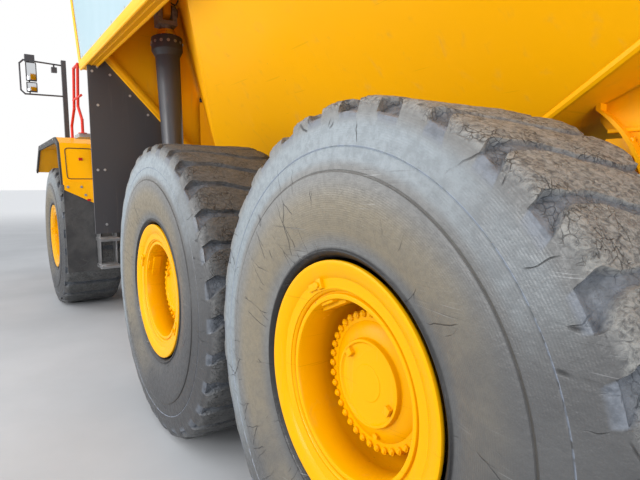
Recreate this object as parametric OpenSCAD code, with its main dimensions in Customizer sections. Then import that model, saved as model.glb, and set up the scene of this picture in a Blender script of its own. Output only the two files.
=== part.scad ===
// Articulated dump truck: a six-wheeled hauler hinged behind its cab.
// X points forward, Y to the left, Z up; the origin is on the ground under the middle of the truck.

/* [Layout] */
// Overall length from the nose to the chute's tail
overall_len = 11264; // [10800:1:11600]
// Front axle to the nose
front_overhang = 3101; // [2950:1:3250]
// Front axle to the middle axle
wheelbase = 4518; // [4450:1:4650]
// Gap between the middle and the rear tyres
bogie_gap = 80; // [60:1:180]
// Distance between the middles of the two tyres of an axle
track = 2636; // [2600:1:2680]
// Steering pivot to the front axle
pivot_setback = 1277; // [1240:1:1320]
// Height of the roll bearing between the two halves
hitch_z = 1150; // [1120:1:1180]

/* [Wheels] */
// Diameter over the tread
tyre_d = 1860; // [1780:1:1880]
// Width of a tyre over its sidewalls
tyre_w = 750; // [700:1:760]
// Width of the tread across its lugs
tread_w = 690; // [640:1:700]
// Width of a rim between its flanges
rim_w = 634; // [600:1:640]
// Diameter of the rim under the tyre's bead
rim_seat_d = 640; // [620:1:660]
// Diameter over a rim's flanges
rim_flange_d = 850; // [820:1:870]
// Depth of the tread's grooves at the shoulders
groove_depth = 46; // [30:1:60]
// Radial wall of a rim under the tyre
rim_wall = 26; // [18:1:32]
// Diameter of the planetary hub's cover
hub_cover_d = 296; // [260:1:320]
// Diameter of a wheel spindle
spindle_d = 190; // [170:1:210]

/* [Frames] */
// Middle of a rear frame beam from the centre plane
beam_y = 430; // [410:1:450]
// Width of a rear frame beam
beam_w = 100; // [90:1:110]
// Top of the rear frame
beam_top = 1500; // [1480:1:1520]
// Depth of a rear frame beam
beam_h = 360; // [330:1:380]
// Middle of a front frame beam from the centre plane
front_beam_y = 400; // [390:1:420]
// Top of the front frame
front_beam_top = 1320; // [1300:1:1340]
// Depth of a front frame beam
front_beam_h = 330; // [300:1:340]
// Radius of an axle tube
axle_r = 150; // [130:1:160]

/* [Dump body] */
// Width over the body's rails
bed_w = 3430; // [3380:1:3460]
// Height of the body's floor underside
bed_floor_z = 1760; // [1745:1:1800]
// Half width of the flat floor
bed_floor_half = 680; // [640:1:700]
// Height where the sloping side turns upright
bed_knee_z = 2730; // [2680:1:2760]
// Loading height at the side's top
bed_top_z = 3150; // [3100:1:3200]
// Height of the guard above the front wall
bed_guard_z = 3500; // [3450:1:3560]
// Thickness of the body's plates
bed_wall = 25; // [18:1:30]
// Depth of the side rails
rail_t = 115; // [90:1:130]
// Rise of the chute towards the tail, in degrees
chute_angle = 23; // [20:0.5:25]
// Where the chute starts, behind the rear axle
chute_start = -57; // [-120:1:40]
// Turn of the side panel towards the hoist cylinder, in degrees
facet_turn = 22.5; // [20:0.5:25]
// Lean of the side panel over the hoist cylinder, in degrees
facet_lean = 12.5; // [10:0.5:13]
// Where that panel meets the sloping side, ahead of the middle axle
facet_foot_dx = 831; // [800:1:860]
// Tipping pivot behind the rear axle
tip_setback = 570; // [540:1:600]
// Height of the tipping pivot
tip_z = 1420; // [1400:1:1440]
// Diameter of the tipping pins
tip_pin_d = 110; // [90:1:130]

/* [Hoist cylinders] */
// Distance of a hoist cylinder from the centre plane
hoist_y = 1100; // [1080:1:1130]
// Lower eye ahead of the middle axle
hoist_base_dx = 1145; // [1130:1:1170]
// Height of the lower eye
hoist_base_z = 1250; // [1230:1:1280]
// Upper eye ahead of the middle axle
hoist_eye_dx = 1279; // [1260:1:1300]
// Height of the upper eye
hoist_eye_z = 3090; // [3060:1:3110]
// Diameter of the barrel
hoist_barrel_d = 180; // [174:1:190]
// Diameter of the barrel under its collar
hoist_neck_d = 208; // [200:1:212]
// Diameter of the barrel's collar
hoist_collar_d = 262; // [240:1:270]
// Diameter of the outer stage
hoist_stage_a_d = 154; // [150:1:160]
// Diameter of the inner stage
hoist_stage_b_d = 132; // [128:1:138]
// Diameter of the rod
hoist_rod_d = 110; // [100:1:114]
// Diameter of the eyes' pins
hoist_pin_d = 90; // [80:1:100]

/* [Steering cylinders] */
// Distance of a steering cylinder's eyes from the centre plane
steer_y = 330; // [310:1:340]
// Barrel's eye behind the steering pivot
steer_base_dx = 554; // [540:1:570]
// Rod's eye ahead of the steering pivot
steer_eye_dx = 646; // [630:1:660]
// Height of the steering cylinders
steer_z = 800; // [790:1:810]
// Diameter of a steering barrel
steer_barrel_d = 110; // [100:1:116]

/* [Cab and hood] */
// Rear wall of the cab behind the front axle
cab_setback = 1551; // [1530:1:1580]
// Length of the cab
cab_len = 1720; // [1680:1:1760]
// Half width of the cab
cab_half = 800; // [760:1:820]
// Underside of the cab's floor
cab_floor_z = 2050; // [2030:1:2070]
// Top of the cab
cab_top_z = 3770; // [3720:1:3800]
// Thickness of the cab's walls
cab_wall = 60; // [50:1:70]
// Half width of the hood
hood_half = 780; // [740:1:790]
// Top of the hood at the cab
hood_top = 2520; // [2480:1:2560]
// Underside of the hood
hood_z = 1440; // [1420:1:1460]
// Top of the front fenders
fender_top = 2190; // [2160:1:2200]

/* [Hidden] */

$fn = 48;
nose_x = overall_len / 2;
tail_x = -overall_len / 2;
front_axle_x = nose_x - front_overhang;
middle_axle_x = front_axle_x - wheelbase;
bogie_spacing = tyre_d + bogie_gap;
rear_axle_x = middle_axle_x - bogie_spacing;
bogie_x = (middle_axle_x + rear_axle_x) / 2;
steer_x = front_axle_x - pivot_setback;
hub_z = tyre_d / 2;
wheel_y = track / 2;
tip_x = rear_axle_x - tip_setback;
hoist_base_x = middle_axle_x + hoist_base_dx;
hoist_eye_x = middle_axle_x + hoist_eye_dx;
cab_rear_x = front_axle_x - cab_setback;
cab_front_x = cab_rear_x + cab_len;
seat_gap = 0.3;
run_fit = 0.05;
yellow = "#f4a90a";
charcoal = "#34363a";
rubber = "#2b2b2d";
steel = "#9a9b9d";

// Small helpers: a cylinder along Y between two places, and a copy on both sides.
module y_rod(x, z, r, y0, y1) {
  translate([x, y0, z]) rotate([-90, 0, 0]) cylinder(r = r, h = y1 - y0);
}
module x_rod(y, z, r, x0, x1) {
  translate([x0, y, z]) rotate([0, 90, 0]) cylinder(r = r, h = x1 - x0);
}
module box(x0, x1, y0, y1, z0, z1) {
  translate([x0, y0, z0]) cube([x1 - x0, y1 - y0, z1 - z0]);
}
module both_sides() {
  children();
  mirror([0, 1, 0]) children();
}
// An outline in X and Z, extruded from y0 to y1.
module xz_plate(points, y0, y1) {
  translate([0, y1, 0]) rotate([90, 0, 0]) linear_extrude(y1 - y0) polygon(points);
}
// An outline in Y and Z, extruded from x0 to x1.
module yz_plate(points, x0, x1) {
  translate([x0, 0, 0]) rotate([90, 0, 90]) linear_extrude(x1 - x0) polygon(points);
}

// Wheels. Profiles are [radius, distance outboard from the wheel's middle].
half_rim = rim_w / 2;
flange_t = 22;
seat_r = rim_seat_d / 2;
flange_r = rim_flange_d / 2;
module at_wheel(x, s) {
  translate([x, s * wheel_y, hub_z]) rotate([-90, 0, s > 0 ? 0 : 180]) children();
}
// A point of a wheel's face at an angle forward of its top.
function on_wheel(r, a) = [r * sin(a), -r * cos(a)];
// The tread: lugs between grooves, which step back half way across and are shallow in the middle.
pitches = 31;
pitch = 360 / pitches;
groove_w = 56;
groove_floor_w = 42;
centre_groove_w = 48;
centre_groove_depth = 14;
groove_step = 2.2;
centre_half = 140;
// Each band across the tread: [from, to, groove's shift in degrees, mouth, floor, depth]
tread_bands = [
  [centre_half, tyre_w, groove_step, groove_w, groove_floor_w, groove_depth],
  [-centre_half, centre_half, 0, centre_groove_w, centre_groove_w - 10, centre_groove_depth],
  [-tyre_w, -centre_half, -groove_step, groove_w, groove_floor_w, groove_depth]];
module tread_band(band, phase) {
  r = tyre_d / 2;
  past = r + 20;
  mouth = band[3] / r * 90 / PI;
  floor_half = band[4] / r * 90 / PI;
  translate([0, 0, band[0]]) linear_extrude(band[1] - band[0]) polygon([
    for (i = [0 : pitches - 1]) let (a = phase + band[2] + i * pitch) each [
      on_wheel(past, a - mouth), on_wheel(r - band[5], a - floor_half),
      on_wheel(r - band[5], a + floor_half), on_wheel(past, a + mouth)]]);
}
module tyre(phase) {
  intersection() {
    carcass();
    union() for (band = tread_bands) tread_band(band, phase);
  }
}
module carcass() {
  half = tyre_w / 2;
  tread = tread_w / 2;
  r = tyre_d / 2;
  bead = half_rim - seat_gap;
  side_points = [[seat_r + seat_gap, bead], [flange_r + 3, bead], [flange_r + 30, half - 42],
    [r * 0.60, half - 8], [r * 0.69, half], [r * 0.80, half - 8], [r * 0.90, half - 20],
    [r * 0.97, tread], [r, tread - 30]];
  mirrored = [for (i = [len(side_points) - 1 : -1 : 0]) [side_points[i][0], -side_points[i][1]]];
  rotate_extrude($fn = 96) polygon(concat(side_points, mirrored));
}
// How far forward of the wheel's top a groove stands, in degrees
groove_front = 0;
groove_middle = 0.3;
groove_rear = 8.3;
disc_t = 150;
hub_len = 160;
hub_cover_rise = 82;
hub_lug_angles = [44.8, 242.3];
module rim() {
  spindle = spindle_d / 2 + run_fit;
  cover = hub_cover_d / 2;
  lip = half_rim + flange_t;
  barrel = [[seat_r, -half_rim], [flange_r, -half_rim - 4], [flange_r, -lip], [seat_r - rim_wall, -lip],
    [seat_r - rim_wall, disc_t - 40], [232, disc_t - 20], [150, disc_t - hub_len], [spindle, disc_t - hub_len],
    [spindle, disc_t - 10], [0, disc_t - 10], [0, disc_t + hub_cover_rise], [cover - 14, disc_t + hub_cover_rise],
    [cover, disc_t + 70], [cover, disc_t + 50], [212, disc_t + 42], [254, disc_t + 38], [262, disc_t],
    [seat_r - rim_wall, disc_t + 30], [seat_r - rim_wall, lip - 42], [seat_r + 26, lip - 24], [seat_r + 34, lip - 6],
    [flange_r - 40, lip], [flange_r, lip], [flange_r, half_rim + 4], [seat_r, half_rim]];
  rotate_extrude($fn = 72) polygon(barrel);
  for (a = hub_lug_angles) rotate(a - 90)
    translate([cover - 40, -22, disc_t + 60]) cube([34, 44, hub_cover_rise - 48]);
  hub_plug();
  rim_clips();
}
// The oil plug on the hub's flange, and the lock ring's clips on the rim's wall.
plug_angle = 188.7;
plug_r = 182;
clip_angles = [24, 118];
clip_half = 11;
module hub_plug() {
  rotate(plug_angle - 90) translate([plug_r, 0, disc_t + 30]) cylinder(r = 17, h = 34);
}
module rim_clips() {
  wall = seat_r - rim_wall;
  for (a = clip_angles) rotate(a - 90) {
    for (t = [-clip_half, clip_half]) rotate(t) translate([wall - 34, -14, half_rim - 130]) cube([40, 28, 70]);
    translate([wall - 20, -60, half_rim - 84]) cube([26, 120, 22]);
  }
}
module tyre_at(x, s, phase) { color(rubber) at_wheel(x, s) tyre(phase); }
module rim_at(x, s) { color("#f7b90c") at_wheel(x, s) rim(); }

// Axles: a tube with the differential in its middle and a spindle in each hub.
module axle(x) {
  color(charcoal) {
    both_sides() {
      y_rod(x, hub_z, axle_r, 0, wheel_y - 300);
      y_rod(x, hub_z, 225, wheel_y - 300, wheel_y + disc_t - hub_len - 8);
      y_rod(x, hub_z, spindle_d / 2, wheel_y - 100, wheel_y + disc_t - 14);
    }
    translate([x, 0, hub_z]) sphere(r = 265);
    x_rod(0, hub_z, 120, x - 300, x + 300);
  }
}
module axle_middle() { axle(middle_axle_x); }
module axle_rear() { axle(rear_axle_x); }
module front_axle() { axle(front_axle_x); }

// Rear frame: two box beams from the roll bearing to the tipping pivot.
bearing_r = 150;
bearing_front = steer_x - 404;
sleeve_back = steer_x - 694;
beam_nose = steer_x - 874;
beam_tail = tip_x - 300;
hoist_tube_r = 90;
bogie_pin_z = 1190;
tow_z = beam_top - 170;
tow_r = 30;
module rear_frame() {
  color(charcoal) {
    both_sides() {
      xz_plate([[beam_tail, beam_top], [beam_tail, beam_top - 180], [rear_axle_x - 250, beam_top - beam_h],
        [beam_nose - 380, beam_top - beam_h], [beam_nose, hitch_z - 120], [beam_nose, hitch_z + 120],
        [beam_nose - 480, beam_top]],
        beam_y - beam_w / 2, beam_y + beam_w / 2);
      y_rod(tip_x, tip_z, tip_pin_d / 2, beam_y, beam_y + beam_w / 2 + 120);
      y_rod(bogie_x, bogie_pin_z, 90, beam_y, 740);
      y_rod(hoist_base_x, hoist_base_z, hoist_pin_d / 2, hoist_y - 130, hoist_y + 95);
      y_rod(hoist_base_x, hoist_base_z, hoist_tube_r, 0, hoist_y - 100);
    }
    y_rod(tip_x, tip_z, 75, -beam_y, beam_y);
    y_rod(bogie_x, bogie_pin_z, 110, -beam_y, beam_y);
    y_rod(middle_axle_x + 420, beam_top - 200, 90, -beam_y, beam_y);
    box(beam_tail, beam_tail + 40, -beam_y, beam_y, beam_top - 180, beam_top);
    box(beam_nose - 200, beam_nose, -beam_y, beam_y, hitch_z - 120, hitch_z + 120);
    difference() {
      box(beam_tail - 110, beam_tail + 20, -90, 90, tow_z, tow_z + 60);
      translate([beam_tail - 55, 0, tow_z - 10]) cylinder(r = tow_r, h = 80);
    }
    x_rod(0, hitch_z, 240, beam_nose - 80, sleeve_back - 10);
    x_rod(0, hitch_z, bearing_r, beam_nose - 80, bearing_front - 10);
  }
}

// Bogie beams rock on the frame's cross shaft and rest on the axle tubes.
bogie_seat = 130;
module bogie_beams() {
  color(charcoal) both_sides() difference() {
    seat_z = hub_z + axle_r + seat_gap;
    xz_plate([[middle_axle_x - bogie_seat, seat_z], [middle_axle_x + bogie_seat, seat_z],
      [middle_axle_x + bogie_seat, seat_z + 110], [bogie_x + 180, bogie_pin_z + 150],
      [bogie_x - 180, bogie_pin_z + 150], [rear_axle_x - bogie_seat, seat_z + 110],
       [rear_axle_x - bogie_seat, seat_z],
      [rear_axle_x + bogie_seat, seat_z], [rear_axle_x + 330, seat_z - 20], [bogie_x - 160, bogie_pin_z - 150],
      [bogie_x + 160, bogie_pin_z - 150], [middle_axle_x - 330, seat_z - 20]], 560, 710);
    y_rod(bogie_x, bogie_pin_z, 90 + run_fit, 550, 720);
  }
}

module tail_lamps() {
  color("#a01818") both_sides() box(beam_tail - 60, beam_tail - seat_gap, beam_y - 60, beam_y + 45,
    beam_top - 130, beam_top - 40);
}

// The hitch turns on the rear frame's roll bearing and carries the upright steering pin.
sleeve_r = 230;
steer_lug_gap = 56;
steer_lug_t = 54;
steer_eye_pin_r = 28;
knuckle_r = 110;
steer_pin_r = 60;
knuckle_z0 = 950;
knuckle_z1 = 1350;
module hitch() {
  color(charcoal) difference() {
    union() {
      x_rod(0, hitch_z, sleeve_r, sleeve_back, bearing_front + 40);
      box(bearing_front, steer_x, -90, 90, knuckle_z0, knuckle_z1);
      translate([steer_x, 0, knuckle_z0]) cylinder(r = knuckle_r, h = knuckle_z1 - knuckle_z0);
      box(steer_x - steer_base_dx - 90, steer_x - steer_base_dx + 90, -200, 200, steer_z - 110, hitch_z - 150);
      both_sides() for (z = [steer_z - steer_lug_gap - steer_lug_t, steer_z + steer_lug_gap])
        translate([0, 0, z]) linear_extrude(steer_lug_t) union() {
          translate([steer_x - steer_base_dx, steer_y]) circle(r = 85);
          translate([steer_x - steer_base_dx - 85, 150]) square([170, steer_y - 150]);
        }
    }
    x_rod(0, hitch_z, bearing_r + run_fit, sleeve_back - 20, bearing_front);
    translate([steer_x, 0, knuckle_z0 - 10]) cylinder(r = steer_pin_r + run_fit, h = knuckle_z1 - knuckle_z0 + 20);
  }
  color(steel) both_sides() translate([steer_x - steer_base_dx, steer_y, steer_z - steer_lug_gap - steer_lug_t])
    cylinder(r = steer_eye_pin_r, h = 2 * (steer_lug_gap + steer_lug_t));
}

hood_back = cab_front_x + 60;
hood_front = nose_x - 60;
hood_hinge_x = nose_x - 85;
hood_hinge_z = hood_z - 45;
hood_pin_r = 22;
// Front frame: two beams, the pivot lugs, the bumper and the tow pin.
lug_t = 60;
module front_frame() {
  beam_back = steer_x + 230;
  color(charcoal) {
    both_sides() {
      xz_plate([[beam_back, front_beam_top - front_beam_h], [beam_back, front_beam_top + 60],
        [front_axle_x - 500, front_beam_top + 60], [front_axle_x - 300, front_beam_top],
         [nose_x - 380, front_beam_top],
        [nose_x - 380, front_beam_top - front_beam_h + 60],
         [front_axle_x + 500, front_beam_top - front_beam_h + 60],
        [front_axle_x + 300, hub_z + axle_r + seat_gap], [front_axle_x - 300, hub_z + axle_r + seat_gap],
        [front_axle_x - 420, front_beam_top - front_beam_h]], front_beam_y - 50, front_beam_y + 50);
      for (z = [steer_z - steer_lug_gap - steer_lug_t, steer_z + steer_lug_gap])
        translate([steer_x + steer_eye_dx, steer_y, z]) cylinder(r = 80, h = steer_lug_t);
      box(steer_x + steer_eye_dx + 175, steer_x + steer_eye_dx + 225, steer_y - 60, front_beam_y + 50,
        steer_z - 110, front_beam_top - front_beam_h + 30);
      for (z = [steer_z - steer_lug_gap - steer_lug_t, steer_z + steer_lug_gap])
        box(steer_x + steer_eye_dx, steer_x + steer_eye_dx + 200, steer_y - 60, steer_y + 90, z, z + steer_lug_t);
    }
    for (z = [knuckle_z0 - lug_t - 6, knuckle_z1 + 6]) translate([0, 0, z]) linear_extrude(lug_t) union() {
      translate([steer_x, 0]) circle(r = 125);
      polygon([[steer_x, -125], [beam_back, -front_beam_y], [beam_back + 120, -front_beam_y],
        [beam_back + 120, front_beam_y], [beam_back, front_beam_y], [steer_x, 125]]);
    }
    translate([steer_x, 0, knuckle_z0 - lug_t - 6])
      cylinder(r = steer_pin_r, h = knuckle_z1 - knuckle_z0 + 2 * lug_t + 12);
    box(beam_back + 60, beam_back + 120, -front_beam_y, front_beam_y, knuckle_z0 - lug_t - 6, knuckle_z1 + 6);
    box(front_axle_x + 480, front_axle_x + 580, -front_beam_y, front_beam_y, 1060, 1260);
    both_sides() {
      for (x = [beam_back + 30, cab_front_x - 260])
        box(x, x + 110, front_beam_y - 50, front_beam_y + 50, front_beam_top - 20, cab_floor_z - seat_gap);
      box(hood_hinge_x - 40, hood_hinge_x + 24, 640, 700, 1200, hood_hinge_z + 24);
      y_rod(hood_hinge_x, hood_hinge_z, hood_pin_r, 550, 641);
    }
    bumper();
  }
}
bumper_half = 1150;
module bumper() {
  difference() {
    translate([0, 0, 700]) linear_extrude(560) polygon([[nose_x - 400, -bumper_half], [nose_x - 140, -bumper_half],
      [nose_x, -bumper_half + 300], [nose_x, bumper_half - 300],
      [nose_x - 140, bumper_half], [nose_x - 400, bumper_half]]);
    box(nose_x - 170, nose_x + 10, -140, 140, 860, 1000);
    translate([nose_x - 90, 0, 640]) cylinder(r = tow_r, h = 700);
  }
}

module engine_block() {
  color(charcoal) box(hood_back + 240, hood_back + 1740, -380, 380, front_beam_top + seat_gap, cab_floor_z);
}

// Hood, tilting forward on its front hinge.
grille_half = 560;
grille_z0 = 1500;
grille_z1 = grille_z0 + 350;
module hood() {
  skin = 40;
  outline = [[hood_back, hood_z], [hood_back, hood_top], [hood_back + 900, hood_top - 80],
    [hood_front - 300, hood_top - 400], [hood_front, hood_top - 620], [hood_front, hood_z]];
  inner = [[hood_back - 10, hood_z - 10], [hood_back - 10, hood_top - 40], [hood_back + 900, hood_top - 120],
    [hood_front - 316, hood_top - 436], [hood_front - skin, hood_top - 640], [hood_front - skin, hood_z - 10]];
  color(yellow) difference() {
    xz_plate(outline, -hood_half, hood_half);
    xz_plate(inner, -hood_half + skin, hood_half - skin);
    box(hood_front - 60, hood_front + 10, -grille_half, grille_half, grille_z0, grille_z1);
  }
  color(yellow) both_sides() difference() {
    union() {
      y_rod(hood_hinge_x, hood_hinge_z, 36, 560, 630);
      box(hood_front - 40, hood_front, 560, 630, hood_hinge_z, hood_z + 30);
    }
    y_rod(hood_hinge_x, hood_hinge_z, hood_pin_r + run_fit, 550, 640);
  }
  color(charcoal) {
    for (z = [grille_z0 + 25 : 65 : grille_z1 - 20])
      box(hood_front - 34, hood_front - 8, -grille_half - 5, grille_half + 5, z - 14, z + 14);
    for (y = [-190, 190]) box(hood_front - 36, hood_front - 12, y - 12, y + 12, grille_z0 - 5, grille_z1 + 5);
  }
}

// Front fenders over the wheels, with a rubber lip and a mudflap behind.
fender_out = wheel_y + 372;
fender_in = cab_half + seat_gap;
flap_x = front_axle_x - 1231;
fender_t = 40;
fender_front = front_axle_x + 1200;
flap_in = wheel_y - 18;
fender_nose_z = fender_top - 340;
fender_foot_z = fender_top - 570;
function fender_top_line() = [[flap_x, fender_foot_z], [flap_x + 120, fender_top - 80],
  [flap_x + 330, fender_top], [front_axle_x + 720, fender_top], [fender_front, fender_nose_z]];
function fender_under_line(t) = [[fender_front - t * 0.6, fender_nose_z - t * 0.6],
  [front_axle_x + 705, fender_top - t], [flap_x + 345, fender_top - t],
  [flap_x + 120 + t, fender_top - 80 - t * 0.6], [flap_x + t, fender_foot_z]];
module fender_panels() {
  color(yellow) both_sides() {
    xz_plate(concat(fender_top_line(), fender_under_line(fender_t)), fender_in, fender_out);
    yz_plate([[flap_in, fender_foot_z + 5], [fender_out - 10, fender_foot_z + 5],
      [fender_out - 10, fender_foot_z - 60], [flap_in, fender_foot_z - 250]],
      flap_x - 22, flap_x - 6 - seat_gap);
    box(flap_x - 22, flap_x + 45, flap_in, fender_out - 10, fender_foot_z + seat_gap, fender_foot_z + 40);
  }
}
module fender_lips() {
  color(rubber) both_sides() {
    box(flap_x - 6, flap_x + 24, flap_in, fender_out, 590, fender_foot_z - seat_gap);
    xz_plate(concat(fender_top_line(), fender_under_line(fender_t + 25)), fender_out + seat_gap, fender_out + 22);
  }
}

// Cab: a shell with its windows cut out, a roof, glass, a door on the left.
win_z0 = cab_floor_z + 550;
win_z1 = cab_top_z - 290;
door_x0 = cab_rear_x + 470;
door_x1 = cab_rear_x + 1370;
door_z0 = fender_top + 16;
door_z1 = cab_top_z - 210;
cab_shell_top = cab_top_z - 130;
glass_t = 12;
module cab_outline(inset) {
  polygon([[cab_rear_x + inset, cab_floor_z + inset], [cab_front_x - inset, cab_floor_z + inset],
    [cab_front_x - inset, win_z0], [cab_front_x - 180 - inset, cab_shell_top - inset],
    [cab_rear_x + inset, cab_shell_top - inset]]);
}
module cab_shell() {
  color("#e9a512") difference() {
    translate([0, cab_half, 0]) rotate([90, 0, 0]) linear_extrude(2 * cab_half) cab_outline(0);
    translate([0, cab_half - cab_wall, 0]) rotate([90, 0, 0])
      linear_extrude(2 * cab_half - 2 * cab_wall) cab_outline(cab_wall);
    box(cab_front_x - 400, cab_front_x + 10, -cab_half + 110, cab_half - 110, win_z0 + 40, win_z1);
    box(cab_rear_x - 10, cab_rear_x + cab_wall + 10, -cab_half + 120, cab_half - 120, win_z0 + 60, win_z1);
    box(door_x0, door_x1, cab_half - cab_wall - 10, cab_half + 10, door_z0, door_z1);
    box(door_x0, door_x1, -cab_half - 10, -cab_half + cab_wall + 10, win_z0, win_z1);
    for (s = [-1, 1]) translate([0, s * (cab_half - cab_wall / 2), 0])
      box(cab_rear_x + 90, door_x0 - 90, -cab_wall, cab_wall, win_z0, win_z1);
  }
  color(charcoal) hinge_frame_side();
}
hinge_x = door_x1;
hinge_y = cab_half + 25;
hinge_r = 20;
hinge_pin_r = 11;
hinge_h = 60;
hinge_heights = [door_z0 + 250, door_z1 - 250];
module hinge_frame_side() {
  for (z = hinge_heights) {
    translate([hinge_x, hinge_y, z - 1.5 * hinge_h]) cylinder(r = hinge_pin_r, h = 3 * hinge_h);
    for (k = [-1.5, 0.5]) {
      translate([hinge_x, hinge_y, z + k * hinge_h]) cylinder(r = hinge_r, h = hinge_h);
      box(hinge_x, hinge_x + 60, cab_half - 1, hinge_y, z + k * hinge_h, z + (k + 1) * hinge_h);
    }
  }
}
module hinge_door_side() {
  for (z = hinge_heights) difference() {
    union() {
      translate([hinge_x, hinge_y, z - hinge_h / 2 + seat_gap]) cylinder(r = hinge_r, h = hinge_h - 2 * seat_gap);
      box(hinge_x - 70, hinge_x, cab_half - 1, hinge_y - 8, z - hinge_h / 2 + seat_gap, z + hinge_h / 2 - seat_gap);
    }
    translate([hinge_x, hinge_y, z - hinge_h]) cylinder(r = hinge_pin_r + run_fit, h = 2 * hinge_h);
  }
}
module cab_roof() {
  color("#e8e8e4")
    box(cab_rear_x - 30, cab_front_x - 60, -cab_half - 20, cab_half + 20, cab_shell_top + seat_gap, cab_top_z);
}
module cab_glass() {
  edge = seat_gap;
  color([0.6, 0.7, 0.75, 0.4]) {
    box(cab_rear_x + 24, cab_rear_x + 24 + glass_t, -cab_half + 120 + edge, cab_half - 120 - edge,
        win_z0 + 60 + edge, win_z1 - edge);
    box(door_x0 + edge, door_x1 - edge, -cab_half + 24, -cab_half + 24 + glass_t, win_z0 + edge, win_z1 - edge);
    for (s = [-1, 1]) translate([0, s * (cab_half - 30), 0])
      box(cab_rear_x + 90 + edge, door_x0 - 90 - edge, -glass_t / 2, glass_t / 2, win_z0 + edge, win_z1 - edge);
    lean = 180 / (cab_shell_top - win_z0);
    front_z0 = win_z0 + 40 + edge;
    front_z1 = win_z1 - edge;
    x_low = cab_front_x - 30 - lean * (front_z0 - win_z0);
    x_high = cab_front_x - 30 - lean * (front_z1 - win_z0);
    xz_plate([[x_low, front_z0], [x_high, front_z1], [x_high - glass_t, front_z1], [x_low - glass_t, front_z0]],
      -cab_half + 110 + edge, cab_half - 110 - edge);
  }
}
module cab_door() {
  gap = 8;
  color("#e9a512") difference() {
    box(door_x0 + gap, door_x1 - gap, cab_half - cab_wall, cab_half, door_z0 + gap, door_z1 - gap);
    box(door_x0 + 90, door_x1 - 90, cab_half - cab_wall - 10, cab_half + 10, win_z0 - 200, win_z1);
  }
  color(charcoal) hinge_door_side();
}
module door_glass() {
  color([0.6, 0.7, 0.75, 0.4])
    box(door_x0 + 90 + seat_gap, door_x1 - 90 - seat_gap, cab_half - 36, cab_half - 24,
      win_z0 - 200 + seat_gap, win_z1 - seat_gap);
}
module cab_interior() {
  floor_top = cab_floor_z + cab_wall;
  seat_z = floor_top + 440;
  wheel_z = floor_top + 760;
  wheel_x = cab_front_x - 540;
  seat_x = cab_rear_x + 500;
  color(charcoal) {
    box(seat_x, seat_x + 280, -180, 180, floor_top + seat_gap, seat_z);
    box(seat_x - 80, seat_x + 420, -250, 250, seat_z - 5, seat_z + 120);
    box(seat_x - 170, seat_x - 50, -240, 240, seat_z, seat_z + 780);
    box(cab_front_x - 380, cab_front_x - 150, -480, 480, floor_top + seat_gap, wheel_z - 60);
    translate([wheel_x, 0, wheel_z]) rotate([0, -60, 0])
      rotate_extrude() translate([200, 0]) circle(r = 16, $fn = 16);
    translate([wheel_x, 0, wheel_z]) rotate([0, -60, 0]) box(-198, 198, -14, 14, -8, 8);
    translate([wheel_x, 0, wheel_z]) rotate([0, -60, 0]) translate([0, 0, -290]) cylinder(r = 26, h = 290);
  }
}

// Platform and steps behind the front wheel, on the left; the lowest step hangs from a tapered bracket.
ladder_x0 = flap_x - 300;
ladder_x1 = flap_x - 30;
rail_y = wheel_y + 182;
step_y0 = wheel_y - 158;
step_y1 = wheel_y + 57;
step_t = 36;
low_step_z = 640;
step_rise = 320;
carrier_t = 16;
module steps() {
  platform_z = fender_top - 40;
  color(steel) {
    box(ladder_x0, ladder_x1 + 25, cab_half + seat_gap, rail_y + 40, platform_z, fender_top);
    for (z = [low_step_z : step_rise : platform_z - 200])
      box(ladder_x0 + 20, ladder_x1, step_y0, step_y1, z, z + step_t);
  }
  color(charcoal) for (y = [step_y0 + 10, step_y1 - 10 - carrier_t]) xz_plate([[ladder_x1 - 130, low_step_z + 10],
    [ladder_x1 - 30, low_step_z + 10], [ladder_x1 + 5, low_step_z + step_rise], [ladder_x1 + 5, platform_z + 10],
    [ladder_x1 - 150, platform_z + 10], [ladder_x1 - 150, low_step_z + step_rise]], y, y + carrier_t);
}
// A round bar through a list of points, with a ball at each bend.
module bar(points, r) {
  ball = r * 1.1;
  for (i = [0 : len(points) - 2]) {
    d = points[i + 1] - points[i];
    translate(points[i]) rotate([0, acos(d[2] / norm(d)), atan2(d[1], d[0])]) cylinder(r = r, h = norm(d));
    if (i > 0) translate(points[i]) sphere(r = ball);
  }
}
// The grab rail is a narrow hoop whose legs spread at the foot, with a cross bar.
rail_top = fender_top + 770;
rail_foot_xs = [ladder_x0 + 24, ladder_x0 + 700];
rail_neck_xs = [ladder_x0 + 225, ladder_x0 + 480];
rail_top_xs = [ladder_x0 + 115, ladder_x0 + 370];
module handrails() {
  r = 16;
  foot_z = fender_top + 150;
  neck_z = fender_top + 325;
  cross_z = fender_top + 430;
  color("#c8281e") {
    bar([[rail_foot_xs[0], rail_y, fender_top + seat_gap], [rail_foot_xs[0], rail_y, foot_z],
      [rail_neck_xs[0], rail_y, neck_z], [rail_top_xs[0], rail_y, rail_top], [rail_top_xs[1], rail_y, rail_top],
      [rail_neck_xs[1], rail_y, neck_z], [rail_foot_xs[1], rail_y, foot_z],
      [rail_foot_xs[1], rail_y, fender_top + seat_gap]], r);
    bar([[ladder_x0, rail_y, cross_z - 15], [rail_neck_xs[1] + 20, rail_y, cross_z]], r - 3);
  }
}
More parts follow.
